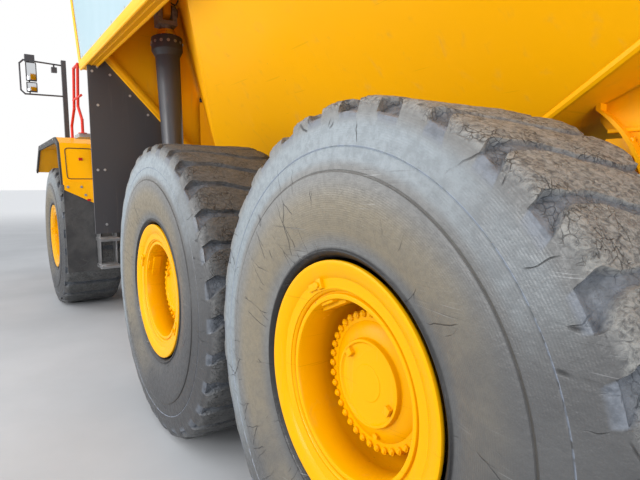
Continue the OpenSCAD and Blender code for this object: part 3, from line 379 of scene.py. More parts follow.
def glass_material():
    s = Shade("window_glass", 0.05, 0.0, (0.10, 0.13, 0.14), 0.5)
    s.put({"Transmission Weight": 0.85, "IOR": 1.45})
    dirt = s.between(s.noise(3.0, 5.0, 0.6), 0.35, 0.8, 0.03, 0.22)
    return s.finish(None, dirt)


def lens_material(name, color):
    s = Shade(name, 0.12, 0.0, color, 0.6, 0.6)
    ribs = s.noise(45.0, 2.0)
    return s.finish(s.mix(s.between(ribs, 0.3, 0.7), color, dim(color, 0.7)), None, ribs, 0.003, 0.5)


def plastic():
    s = Shade("cab_plastic", 0.6, 0.0, (0.035, 0.036, 0.038), 0.4)
    grain = s.noise(180.0, 3.0)
    tone = s.mix(s.between(s.noise(4.0, 4.0), 0.3, 0.7), (0.03, 0.031, 0.033), (0.07, 0.068, 0.064))
    return s.finish(tone, None, grain, 0.001, 0.5)


def mirror_material():
    s = Shade("mirror_glass", 0.06, 1.0, (0.62, 0.64, 0.66), 0.5)
    smear = s.between(s.noise(9.0, 3.0), 0.35, 0.8, 0.04, 0.20)
    return s.finish(None, smear)


def screen_material(name, scale, metal_color):
    """A pressed screen: dark round holes in rows."""
    s = Shade(name, 0.45, 0.6, metal_color, 0.4)
    hole = s.between(s.cells(scale, random_place=0.0), 0.34, 0.28)
    tone = s.mix(hole, metal_color, (0.004, 0.004, 0.004))
    return s.finish(tone, s.between(hole, 0.0, 1.0, 0.42, 0.9), s.minus(0.5, hole), 0.002, 0.6)


def soot_material():
    s = Shade("soot", 0.95, 0.0, (0.006, 0.006, 0.006), 0.1)
    return s.finish(s.mix(s.noise(40.0), (0.004, 0.004, 0.004), (0.016, 0.015, 0.014)))


mirror_glass = mirror_material()
clear_lens = lens_material("clear_lens", (0.75, 0.77, 0.78))
red_lens = lens_material("red_lens", (0.55, 0.02, 0.012))
amber_lens = lens_material("amber_lens", (0.85, 0.26, 0.01))
mesh_screen = screen_material("mesh_screen", 95.0, (0.05, 0.05, 0.055))
guard_screen = screen_material("guard_screen", 60.0, (0.42, 0.41, 0.40))
soot = soot_material()


# Tyres. COLUMNS are places between a groove's middle (0), its wall and the next lug's middle (0.5), as
# shares of a pitch. SIDE is half of the section as (radius, distance from the tyre's middle), and CROWN
# has such distances on the tread.

TREAD_R = 0.930
WALL = 0.2
COLUMNS = (0.0, 0.08, 0.15, WALL, 0.235, 0.29, 0.37, 0.45, 0.5)
SIDE = (
    (0.4285, 0.300), (0.437, 0.326), (0.447, 0.337), (0.4535, 0.3425), (0.458, 0.3425), (0.462, 0.3375),
    (0.470, 0.338), (0.490, 0.3435), (0.520, 0.3525), (0.560, 0.3625), (0.600, 0.3690), (0.640, 0.3712),
    (0.675, 0.3706), (0.694, 0.3690), (0.6995, 0.3675), (0.7015, 0.3622), (0.7060, 0.3622), (0.7085, 0.3640),
    (0.735, 0.3610), (0.762, 0.3580), (0.7735, 0.3562), (0.7765, 0.3532), (0.7800, 0.3560), (0.800, 0.3530),
    (0.825, 0.3495), (0.848, 0.3460), (0.862, 0.3440), (0.873, 0.3425), (0.884, 0.3405), (0.895, 0.3370),
    (0.906, 0.3310), (0.916, 0.3220), (0.9235, 0.3090), (0.9275, 0.2930))
CROWN = (0.272, 0.248, 0.222, 0.196, 0.170, 0.144, 0.118, 0.090, 0.060, 0.030)


def smooth_step(a, b, x):
    t = min(1.0, max(0.0, (x - a) / (b - a)))
    return t * t * (3 - 2 * t)


def tyre_mesh(name, pitches, seed, turn, mouth=0.036, thin=0.011, sway=2.6, deep=0.044, shallow=0.012):
    """A worn lugged tyre about Y; its grooves follow an S across the tread and open in scooped mouths."""
    half = list(SIDE) + [(0.9298, y) for y in CROWN]
    profile = half + [(TREAD_R, 0.0)] + [(r, -y) for r, y in reversed(half)]
    pitch = 2 * math.pi / pitches
    steps = [-c for c in reversed(COLUMNS[1:-1])] + list(COLUMNS)
    verts, tread_share, groove_share = [], [], []
    for p in range(pitches):
        scoop = 1.0 + 0.25 * RNG.uniform(-1, 1)
        wander = RNG.uniform(-0.5, 0.5)
        for c in steps:
            a = abs(c)
            for r, y in profile:
                outward = 1 if y > 0 else -1
                shoulder = smooth_step(0.235, 0.335, abs(y))
                width = thin + (mouth * scoop - thin) * shoulder
                wall = width / (r * pitch)
                across = a / WALL * wall if a <= WALL else wall + (a - WALL) / 0.3 * (0.5 - wall)
                follow = smooth_step(0.84, 0.90, r)
                across = a + (across - a) * follow
                edge = 2.0 * smooth_step(0.29, 0.345, abs(y)) * outward
                swing = (sway * max(-1.0, min(1.0, y / 0.14)) - edge + wander) * follow
                angle = (p + 0.5 + (across if c > 0 else -across)) * pitch + math.radians(swing + turn)
                in_groove = (1.0 if a <= WALL else 0.0) * smooth_step(0.846, 0.868, r)
                depth = shallow + (deep * scoop - shallow) * smooth_step(0.225, 0.34, abs(y))
                lug = smooth_step(0.868, 0.90, r)
                x, z = math.sin(angle), math.cos(angle)
                spot = Vector((x * TREAD_R, y, z * TREAD_R)) + Vector((seed, seed * 2.0, 0))
                lump = noise.noise(spot * 9.0) * 0.0045 + noise.noise(spot * 31.0) * 0.0026
                ragged = noise.noise(spot * 55.0) * 0.0016
                new_r = r
                if in_groove > 0:
                    floor = TREAD_R - depth + noise.noise(spot * 14.0) * 0.006
                    new_r = r - in_groove * max(0.0, r - floor)
                elif a < 0.3:
                    chipped = max(0.0, noise.noise(spot * 22.0))
                    new_r = r - lug * (0.002 + 0.010 * chipped * (0.2 + shoulder))
                new_r += lug * (lump + ragged) - 0.0035 * lug
                new_r = min(new_r, 0.9299)
                worn = 0.006 * max(0.0, noise.noise(spot * 18.0))
                new_y = y - outward * lug * (worn + 0.010 * in_groove * shoulder)
                verts.append((x * new_r, new_y, z * new_r))
                tread_share.append(smooth_step(0.890, 0.924, r))
                groove_share.append(in_groove)
    rows = len(profile)
    columns = pitches * len(steps)
    faces = []
    for i in range(columns):
        j = (i + 1) % columns
        for k in range(rows - 1):
            faces.append((i * rows + k, i * rows + k + 1, j * rows + k + 1, j * rows + k))
    mesh = bpy.data.meshes.new(name)
    mesh.from_pydata(verts, [], faces)
    for label, values in (("tread", tread_share), ("groove", groove_share)):
        mesh.attributes.new(label, "FLOAT", "POINT").data.foreach_set("value", values)
    return mesh


def tyre_rubber(name, dust, painted_sky_sheen, tone=1.0):
    """Satin rubber, painted paler on its upper, lit side with a painted bluish sky sheen there and tan dust,
    with short cracks and scratches; a torn, dusted tread.
    """
    s = Shade(name, 0.5, 0.0, (0.1, 0.1, 0.1), 0.45)
    x, y, z = s.split()
    radius = s.length(x, z)
    angle = s.math("ARCTAN2", x, z)
    tread, groove = (s.node("Attribute", "Fac", {}, attribute_name=label) for label in ("tread", "groove"))
    cloud = s.between(s.noise(2.6, 3.0, 0.6, 0.5), 0.32, 0.72)
    fine = s.between(s.noise(38.0, 3.0, 0.7), 0.3, 0.72)
    lean = s.plus(s.times(x, 0.62), s.times(z, 0.78))
    # Painted light and shade: the sidewall is painted paler on its upper, lit side and darker on its lower
    # side, as shade; the tan dust below is kept to that lit side too.
    painted_lit_side = s.between(s.plus(lean, s.times(cloud, 0.25)), -0.62, 1.0)

    side = s.mix(painted_lit_side, dim((0.050, 0.051, 0.054), tone), dim((0.175, 0.175, 0.168), tone))
    tan = s.times(s.between(radius, 0.47, 0.53), s.between(radius, 0.70, 0.60))
    tan = s.times(tan, s.between(painted_lit_side, 0.05, 0.75))
    side = s.mix(s.times(tan, 0.75), side, (0.205, 0.168, 0.105))
    # Painted reflection: a pale bluish band of sky sheen on the upper, lit side of the sidewall, scaled by
    # the tyre's sheen share.
    ring = s.times(s.between(radius, 0.712, 0.75), s.between(radius, 0.885, 0.83))
    ring = s.times(ring, s.between(painted_lit_side, 0.15, 0.95))
    side = s.mix(s.times(ring, painted_sky_sheen), side, (0.240, 0.288, 0.322))
    side = s.mix(s.times(fine, 0.25), side, (0.045, 0.045, 0.048))
    step = s.between(s.math("ABSOLUTE", s.minus(radius, 0.7035)), 0.0034, 0.0010)
    side = s.mix(s.times(step, 0.55), side, (0.045, 0.036, 0.024))
    line = s.between(s.math("ABSOLUTE", s.minus(radius, 0.7785)), 0.0036, 0.0016)
    broken = s.between(s.noise(34.0, 2.0), 0.36, 0.52)
    side = s.mix(s.times(s.times(line, broken), 0.55), side, (0.25, 0.29, 0.37))
    # Painted shade: a near-black ring at the bead stands for the shaded gap between the rim flange and the
    # tyre.
    side = s.mix(s.between(radius, 0.470, 0.459), side, (0.012, 0.012, 0.013))

    bend = s.noise(6.0, 3.0)
    spoke = s.node("CombineXYZ", 0, {0: s.plus(s.times(angle, 8.0), bend), 1: s.times(radius, 3.4), 2: y})
    crack = s.cells(1.0, "DISTANCE_TO_EDGE", spoke)
    hair = s.times(s.between(crack, 0.016, 0.003), s.between(s.noise(7.0, 2.0), 0.53, 0.60))
    patch = s.between(s.noise(3.2, 2.0), 0.50, 0.66)
    scored = s.math("MAXIMUM", s.streaks(75.0, 5.0, 260.0, 0.690, 0.715),
                    s.streaks(-15.0, 4.0, 240.0, 0.700, 0.725))
    scored = s.times(scored, s.times(patch, 0.45))
    hairs = s.times(s.math("MAXIMUM", hair, scored), s.between(tread, 0.5, 0.0))
    side = s.mix(s.times(hairs, 0.85), side, (0.014, 0.014, 0.015))
    marks = s.streaks(28.0, 5.0, 280.0, 0.705, 0.73)
    side = s.mix(s.times(marks, s.times(patch, 0.3)), side, (0.42, 0.43, 0.44))

    torn = s.noise(75.0, 5.0, 0.72, 0.7, s.scaled((1.0, 0.55, 1.0)))
    tear = s.cells(46.0, "DISTANCE_TO_EDGE", s.warped(18.0, 0.05))
    tear_line = s.times(s.between(tear, 0.07, 0.015), s.between(s.noise(12.0, 2.0), 0.45, 0.60))
    bare = dim((0.060, 0.063, 0.068), tone)
    dusty = dim([b + (d - b) * dust for b, d in zip((0.11, 0.112, 0.116), (0.312, 0.314, 0.300))], tone)
    top = s.mix(s.between(torn, 0.32, 0.64), bare, dusty)
    top = s.mix(s.times(cloud, 0.35), top, dim(dusty, 0.8))
    top = s.mix(s.times(tear_line, 0.75), top, (0.020, 0.019, 0.018))
    floor = s.mix(fine, dim((0.085, 0.098, 0.120), tone), dim((0.165, 0.185, 0.220), tone))
    color = s.mix(tread, side, top)
    color = s.mix(s.times(groove, 0.8), color, floor)

    rough_side = s.between(fine, 0.0, 1.0, 0.36, 0.50)
    rough_all = s.math("ADD", rough_side, s.times(tread, 0.3), clamp=True)
    rings = s.math("SINE", s.times(radius, 900.0))
    side_height = s.plus(s.times(fine, 0.35), s.times(rings, 0.05))
    side_height = s.minus(side_height, hair)
    top_height = s.minus(s.times(torn, 3.4), s.times(tear_line, 2.2))
    height = s.node("Mix", 0, {"Factor": tread, 2: side_height, 3: top_height})
    return s.finish(color, rough_all, height, 0.0024, 0.9)


def on_wheels(axle, name, replaced, mesh, material, sharp):
    """The mesh on both wheels of an axle, in place of the plain node."""
    for side, sign in SIDES:
        copy = mesh if sign > 0 else mesh.copy()
        obj = place(f"{name}_{axle}_{side}", copy, material, None, True, sharp)
        obj.location = (AXLES[axle], sign * WHEEL_Y, HUB_Z)
        obj.rotation_euler = (0, 0, 0 if sign > 0 else math.pi)
        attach(obj, f"wheel_{axle}_{side}")
        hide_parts(f"{replaced}_{axle}_{side}")


def tyres():
    looks = {
        "rear": (dict(pitches=31, seed=1.0, turn=2.5), tyre_rubber("rear_tyre_rubber", 1.0, 0.7)),
        "middle": (dict(pitches=31, seed=5.0, turn=-5.5, thin=0.013, shallow=0.021),
                   tyre_rubber("middle_tyre_rubber", 0.2, 0.8, 0.8)),
        "front": (dict(pitches=24, seed=9.0, turn=0.0, mouth=0.038, thin=0.026, sway=0.0, deep=0.060,
                       shallow=0.040), tyre_rubber("front_tyre_rubber", 0.3, 0.5, 0.7)),
    }
    for axle, (options, material) in looks.items():
        mesh = tyre_mesh(f"tyre_{axle}_mesh", **options)
        on_wheels(axle, "worn_tyre", "tyre", mesh, material, 32.0)


# Rims and hubs. RIM and BOWL are closed sections as (radius, distance outward).

RIM = (
    (0.320, -0.314), (0.425, -0.318), (0.425, -0.338), (0.405, -0.339), (0.300, -0.300), (0.291, -0.200),
    (0.288, 0.030), (0.262, 0.046), (0.236, 0.058), (0.236, 0.186), (0.233, 0.189), (0.206, 0.189),
    (0.203, 0.192), (0.172, 0.204), (0.152, 0.207), (0.149, 0.211), (0.1495, 0.222), (0.147, 0.226),
    (0.139, 0.226), (0.136, 0.222), (0.133, 0.219), (0.064, 0.220), (0.062, 0.222), (0.001, 0.2225),
    (0.001, 0.02), (0.280, 0.010), (0.280, -0.290), (0.310, -0.312))
BOWL = (
    (0.291, 0.034), (0.291, 0.120), (0.2945, 0.126), (0.2945, 0.190), (0.290, 0.196), (0.290, 0.262),
    (0.2925, 0.300), (0.296, 0.308), (0.303, 0.3105), (0.311, 0.309), (0.3135, 0.305), (0.3145, 0.2995),
    (0.3185, 0.2995), (0.320, 0.305), (0.323, 0.311), (0.335, 0.3165), (0.343, 0.3185), (0.350, 0.3165),
    (0.3535, 0.310), (0.3545, 0.303), (0.3575, 0.303), (0.3590, 0.311), (0.366, 0.320), (0.386, 0.330),
    (0.410, 0.3375), (0.418, 0.3388), (0.4235, 0.3368), (0.4255, 0.331), (0.4245, 0.3245), (0.418, 0.3215),
    (0.330, 0.3180), (0.322, 0.290), (0.318, 0.034))
STUDS = 38
AXIS_TURN = Matrix.Rotation(-math.pi / 2, 4, "X")


def at_angle(degrees, r, y):
    """A point on the wheel's face; degrees turn forward from the top, seen from the left side."""
    a = math.radians(degrees)
    return Vector((r * math.sin(a), y, r * math.cos(a)))


def rim_mesh(name, clips):
    bm = bmesh.new()
    add_lathe(bm, RIM, 120, AXIS_TURN)
    add_lathe(bm, BOWL, 160, AXIS_TURN)
    for k in range(STUDS):
        degrees = 360 * (k + 0.5) / STUDS
        add_rod(bm, at_angle(degrees, 0.230, 0.160), at_angle(degrees, 0.230, 0.1965), 0.0125, 14)
        add_rod(bm, at_angle(degrees, 0.230, 0.1965), at_angle(degrees, 0.230, 0.2015), 0.0105, 14, 0.0070)
    for degrees in (44.8, -117.7):
        turn = Matrix.Rotation(math.radians(degrees), 4, "Y") @ Matrix.Translation((0, 0, 0.121))
        add_box(bm, (-0.015, 0.212, -0.012), (0.015, 0.236, 0.012), 0.002, turn)
    add_rod(bm, at_angle(-171.0, 0.182, 0.19), at_angle(-171.0, 0.182, 0.212), 0.0115, 6)
    for degrees in clips:
        turn = Matrix.Rotation(math.radians(degrees), 4, "Y")
        for low, high in (((-0.032, 0.285, 0.335), (-0.004, 0.331, 0.372)),
                          ((0.002, 0.285, 0.340), (0.052, 0.328, 0.366)),
                          ((-0.030, 0.250, 0.284), (0.040, 0.300, 0.300)),
                          ((-0.070, 0.225, 0.270), (0.075, 0.275, 0.291))):
            add_box(bm, low, high, 0.004, turn)
        bolt = add_rod(bm, (-0.012, 0.325, 0.352), (-0.012, 0.3375, 0.352), 0.010, 12)
        bmesh.ops.transform(bm, matrix=turn, verts=bolt)
    return mesh_of(name, bm)


def rims():
    clip_places = {"rear": (24.0,), "middle": (62.0, -122.0), "front": (80.0,)}
    for axle, clips in clip_places.items():
        mesh = rim_mesh(f"rim_{axle}_mesh", clips)
        on_wheels(axle, "dished_rim", "rim", mesh, rim_paint, 40.0)


# Dressings: bolts, seals, lenses and other trim on the carried-over solids

def add_bolt(bm, at, axis, r, h):
    """A hexagon bolt head on its washer."""
    at, axis = Vector(at), Vector(axis).normalized()
    add_rod(bm, at - axis * 0.002, at + axis * h * 0.3, r * 1.5, 16)
    add_rod(bm, at, at + axis * h, r, 6, r * 0.93)


def add_bolts(bm, places, axis, r, h=0.011):
    for at in places:
        add_bolt(bm, at, axis, r, h)


def add_ring(bm, at, axis, inner, outer, h, steps=40):
    """A flat ring whose face looks along the axis."""
    at, axis = Vector(at), Vector(axis).normalized()
    turn = Matrix.Translation(at) @ axis.to_track_quat("Z", "Y").to_matrix().to_4x4()
    edge = min(h, outer - inner) * 0.2
    add_lathe(bm, ((inner, -0.001), (inner, h), (outer - edge, h), (outer, h - edge), (outer, -0.001)),
              steps, turn)


def corners_of(a0, b0, a1, b1):
    return ((a0, b0), (a1, b0), (a1, b1), (a0, b1))


def add_loop(bm, corners, r, bend=0.03):
    """A seal laid round a window's corners."""
    first, last = Vector(corners[0]), Vector(corners[-1])
    start = (first + last) / 2
    add_tube(bm, [start, *corners, start], r, 8, bend)


def both_sides(name, material, body):
    """Gives the mesh with the side, left (1) and then right (-1), and makes one piece of what was added."""
    bm = bmesh.new()
    for side in (1, -1):
        yield bm, side
    joined(name, bm, material, body)


FLOOR_Z, FLOOR_HALF, KNEE_Z, SIDE_HALF = 1.760, 0.680, 2.730, 1.600
CHUTE_X, CHUTE_RISE, TAIL_X = -3.870, math.tan(math.radians(23.0)), -5.632
SPLASH_X = -0.430
PANEL_Y = 1.705


def slope_y(z):
    """Where the body's sloping side is at that height."""
    return FLOOR_HALF + (z - FLOOR_Z) * (SIDE_HALF - FLOOR_HALF) / (KNEE_Z - FLOOR_Z)


def crease_point(x, side, out):
    """A point of the body's lower edge at x, pushed out from it."""
    z = FLOOR_Z + max(0.0, CHUTE_X - x) * CHUTE_RISE
    return Vector((x, side * (slope_y(z) + out), z - out))


def body_trim():
    for bm, side in both_sides("crease_welds", body_paint, "bed"):
        add_tube(bm, [crease_point(x, side, -0.007) for x in (-1.24, CHUTE_X, TAIL_X + 0.012)], 0.021, 10)
        add_tube(bm, [(x, side * 1.600, KNEE_Z) for x in (-2.58, TAIL_X + 0.34)], 0.009, 8)
        add_tube(bm, [(-0.455, side * 0.72, 1.815), (-0.455, side * 1.59, 2.733)], 0.009, 8)
        for y, r in ((1.612, 0.012), (1.660, 0.006), (PANEL_Y, 0.012)):
            add_tube(bm, [(-2.59, side * y, 2.631), (-0.21, side * y, 2.631), (0.135, side * y, 3.490)], r, 8)
        add_tube(bm, [(x, side * PANEL_Y, 3.496) for x in (-2.3495, 0.13)], 0.012, 8)
        post = ((-2.598, 2.64), (-2.598, 3.28), (-2.3495, 3.496))
        add_tube(bm, [(x, side * PANEL_Y, z) for x, z in post], 0.012, 8)

    for bm, side in both_sides("arch_flanges", body_paint, "bed"):
        arc = [(-4.387 + 0.400 * (1 - math.cos(a)), 1.42 + 0.52 * math.sin(a))
               for a in (math.radians(7.5 * k) for k in range(9))] + [(-4.187, 1.900)]
        outline = arc + [(x + 0.018, z) for x, z in reversed(arc)]
        add_plate(bm, outline, side * 0.462, side * 0.150)
        add_slab(bm, (-4.62, -4.20), side * 0.556, 0.022, (1.782, 1.797), 0.003)

    for bm, side in both_sides("plate_bolts", grey_steel, "bed"):
        low = [(x, side * 1.7045, 2.722) for x in (-2.45, -2.1, -1.75, -1.4, -1.05, -0.7, -0.33)]
        top = [(x, side * 1.7045, 3.408) for x in (-2.28, -1.85, -1.42, -0.99, -0.56, -0.13)]
        add_bolts(bm, low + top, (0, side, 0), 0.009, 0.007)
        slanted = [(1.513, 2.564), (1.351, 2.401), (1.199, 2.245), (1.616, 2.619), (1.658, 2.580),
                   (1.624, 2.298), (1.593, 1.741), (1.651, 1.740), (0.95, 1.98), (0.80, 1.82),
                   (0.78, 1.26), (1.60, 1.26)]
        add_bolts(bm, [(SPLASH_X, side * y, z) for y, z in slanted], (-1, 0, 0), 0.0075, 0.007)
        add_bolts(bm, [(SPLASH_X + 0.018, side * y, z) for y, z in slanted], (1, 0, 0), 0.0075, 0.007)

    for bm, side in both_sides("bed_lugs", body_paint, "bed"):
        for x in (-5.1, -4.2, -3.3):
            add_slab(bm, (x - 0.04, x + 0.04), side * 1.655, 0.05, (2.98, 3.034), 0.004)
        add_ring(bm, (TIP_X, side * 0.566, TIP_Z), (0, side, 0), 0.058, 0.085, 0.014)
        add_box(bm, (-4.30, side * 0.57, 1.63), (-4.20, side * 0.572 + 0.02, 1.76), 0.004)

    for bm, side in both_sides("tip_pin_plates", grey_steel, "load_frame"):
        end = side * 0.600
        add_ring(bm, (TIP_X, end, TIP_Z), (0, side, 0), 0.012, 0.046, 0.010)
        add_bolts(bm, [(TIP_X + dx, end, TIP_Z) for dx in (-0.025, 0.025)], (0, side, 0), 0.008, 0.016)


HOIST_BASE, HOIST_LEAN, HOIST_Y = (-0.842, 1.250), math.radians(4.165), 1.10
HOIST_LEN, GLAND_Z = 1.84487, 1.62987


def on_hoist(side, up, ahead=0.0, out=0.0):
    """A point beside a hoist cylinder: up its axis, ahead of it and outboard of it."""
    x = HOIST_BASE[0] + up * math.sin(HOIST_LEAN) + ahead * math.cos(HOIST_LEAN)
    z = HOIST_BASE[1] + up * math.cos(HOIST_LEAN) - ahead * math.sin(HOIST_LEAN)
    return Vector((x, side * (HOIST_Y + out), z))


def hoist_trim():
    axis = Vector((math.sin(HOIST_LEAN), 0, math.cos(HOIST_LEAN)))
    for name, side in SIDES:
        bm = bmesh.new()
        for across, ahead in round_circle(14, 0.5):
            out = Vector((ahead * math.cos(HOIST_LEAN), across, -ahead * math.sin(HOIST_LEAN)))
            add_bolt(bm, on_hoist(side, GLAND_Z - 0.062) + out * 0.1305, out, 0.009, 0.008)
            add_bolt(bm, on_hoist(side, GLAND_Z - 0.0145) + out * 0.118, axis, 0.007, 0.006)
        joined(f"hoist_collar_bolts_{name}", bm, grey_steel, f"hoist_barrel_{name}")

        bm = bmesh.new()
        for up in (0.34, 0.62):
            add_ring(bm, on_hoist(side, up), axis, 0.088, 0.0975, 0.035, 48)
        back = -0.105
        add_box(bm, on_hoist(side, 0.16, -0.125, -0.035 * side),
                on_hoist(side, 0.24, -0.085, 0.035 * side), 0.005)
        line = [on_hoist(side, 0.22, back), on_hoist(side, 0.30, back - 0.008),
                on_hoist(side, 0.70, back - 0.008)]
        add_tube(bm, line, 0.011, 10, 0.03)
        joined(f"hoist_straps_{name}", bm, dark_paint, f"hoist_barrel_{name}")

        bm = bmesh.new()
        eye = on_hoist(side, HOIST_LEN)
        for outward in (1, -1):
            face = eye + Vector((0, outward * 0.0935, 0))
            add_ring(bm, face, (0, outward, 0), 0.010, 0.043, 0.007)
            add_rod(bm, face, face + Vector((0, outward * 0.012, 0)), 0.012, 6)
        joined(f"hoist_pin_heads_{name}", bm, dark_paint, f"hoist_rod_{name}")

        bm = bmesh.new()
        for outward, ahead in ((1, -0.03), (-1, -0.05)):
            y = outward * 0.118
            points = [eye + Vector((ahead, y * 0.30, 0.07)), eye + Vector((ahead - 0.06, y * 0.5, 0.03)),
                      eye + Vector((ahead - 0.10, y * 0.6, 0.08)),
                      eye + Vector((ahead - 0.08, y * 0.6, 0.139))]
            add_tube(bm, points, 0.006, 8, 0.04)
        joined(f"hoist_grease_hoses_{name}", bm, seal_rubber, "bed")

        bm = bmesh.new()
        foot = on_hoist(side, 0.0)
        add_ring(bm, foot + Vector((0, side * 0.0948, 0)), (0, side, 0), 0.010, 0.060, 0.012)
        add_bolts(bm, [foot + Vector((dx, side * 0.106, 0)) for dx in (-0.03, 0.03)], (0, side, 0), 0.009)
        joined(f"hoist_foot_pin_{name}", bm, grey_steel, "load_frame")


FLAP_X = 1.300


def fender_trim():
    for bm, side in both_sides("fender_bolts", grey_steel, "tractor"):
        spots = [(1.35, 1.595), (1.50, 1.595), (1.645, 1.595), (1.345, 1.47), (1.46, 1.50)]
        add_bolts(bm, [(FLAP_X - 0.022, side * y, z) for y, z in spots], (-1, 0, 0), 0.010, 0.008)
        edge = [(x, side * 1.712, 2.168) for x in (1.75, 2.15, 2.55, 2.95)]
        add_bolts(bm, edge, (0, side, 0), 0.008, 0.006)
        sill = [(1.368, side * (0.86 + 0.12 * k), 1.90) for k in range(3)]
        add_bolts(bm, sill, (-1, 0, 0.24), 0.010, 0.008)

    for bm, side in both_sides("fender_reflectors", red_lens, "tractor"):
        add_slab(bm, (1.364, 1.380), side * 1.48, 0.022, (1.905, 1.940), 0.003)
        add_slab(bm, (FLAP_X - 0.030, FLAP_X - 0.022), side * 1.426, 0.020, (1.43, 1.455), 0.003)

    for bm, side in both_sides("fender_panel_seams", seal_rubber, "tractor"):
        lean = 0.245
        corners = [(FLAP_X + (z - 1.62) * lean - 0.002, side * y, z)
                   for y, z in corners_of(1.34, 1.69, 1.64, 2.05)]
        add_loop(bm, corners, 0.005, 0.04)


def step_trim():
    bm = bmesh.new()
    for k in range(5):
        z = 0.640 + 0.320 * k
        if k < 4:
            add_tube(bm, [(1.013, 1.162, z + 0.030), (1.013, 1.373, z + 0.030)], 0.010, 8)
            add_tube(bm, [(1.268, 1.162, z + 0.030), (1.268, 1.373, z + 0.030)], 0.010, 8)
            for j in range(5):
                x = 1.045 + 0.046 * j
                add_box(bm, (x, 1.166, z + 0.034), (x + 0.010, 1.369, z + 0.043), 0.002)
    for j in range(11):
        for i in range(5):
            x, y = 1.020 + 0.052 * i, 0.84 + 0.06 * j
            add_rod(bm, (x, y, 2.188), (x, y, 2.194), 0.011, 8, 0.007)
    joined("step_grips", bm, grey_steel, "tractor")
    bm = bmesh.new()
    for x in (1.024, 1.700):
        add_ring(bm, (x, 1.500, 2.190), (0, 0, 1), 0.015, 0.045, 0.008)
        add_bolts(bm, [(x + dx, 1.500, 2.197) for dx in (-0.032, 0.032)], (0, 0, 1), 0.007)
    joined("rail_feet", bm, red_paint, "tractor")


HEADLAMPS_Y, HEADLAMPS_Z = (0.895, 1.005), 1.335


def mirror_trim():
    for bm, side in both_sides("mirror_glass", mirror_glass, "tractor"):
        for low, high in ((2.932, 3.038), (3.082, 3.308)):
            add_slab(bm, (2.9815, 2.9855), side * MIRROR_Y, 0.055, (low, high), 0.0015)

    for bm, side in both_sides("mirror_rims", seal_rubber, "tractor"):
        for low, high in ((2.920, 3.050), (3.070, 3.320)):
            corners = [(2.984, side * MIRROR_Y + dy, z)
                       for dy, z in corners_of(-0.062, low + 0.004, 0.062, high - 0.004)]
            add_loop(bm, corners, 0.005, 0.02)

    for bm, side in both_sides("lamp_lenses", clear_lens, "tractor"):
        add_rod(bm, (3.0605, side * 1.780, 3.376), (3.066, side * 1.780, 3.376), 0.034, 24, 0.030)
        add_rod(bm, (3.0555, side * 1.480, 3.255), (3.060, side * 1.480, 3.255), 0.024, 24, 0.021)
        for y in HEADLAMPS_Y:
            add_rod(bm, (5.432, side * y, HEADLAMPS_Z), (5.441, side * y, HEADLAMPS_Z), 0.050, 28, 0.044)

    for bm, side in both_sides("lamp_bezels", chrome, "tractor"):
        for y in HEADLAMPS_Y:
            add_ring(bm, (5.432, side * y, HEADLAMPS_Z), (1, 0, 0), 0.050, 0.056, 0.012, 32)
        add_ring(bm, (3.060, side * 1.780, 3.376), (1, 0, 0), 0.034, 0.038, 0.008, 28)

    for bm, side in both_sides("side_lamps", amber_lens, "tractor"):
        add_slab(bm, (5.300, 5.400), side * 1.072, 0.008, (1.30, 1.37), 0.004)

    for bm, side in both_sides("tail_lamp_rings", chrome, "load_frame"):
        for z in (1.393, 1.437):
            add_ring(bm, (-4.857, side * 0.4225, z), (-1, 0, 0), 0.015, 0.021, 0.006, 24)


ROOF_LAMPS_Y = (-0.55, -0.20, 0.20, 0.55)


def windscreen_x(z):
    """Where the leaning windscreen is at that height."""
    return 2.700 - 0.1731 * (z - 2.600)


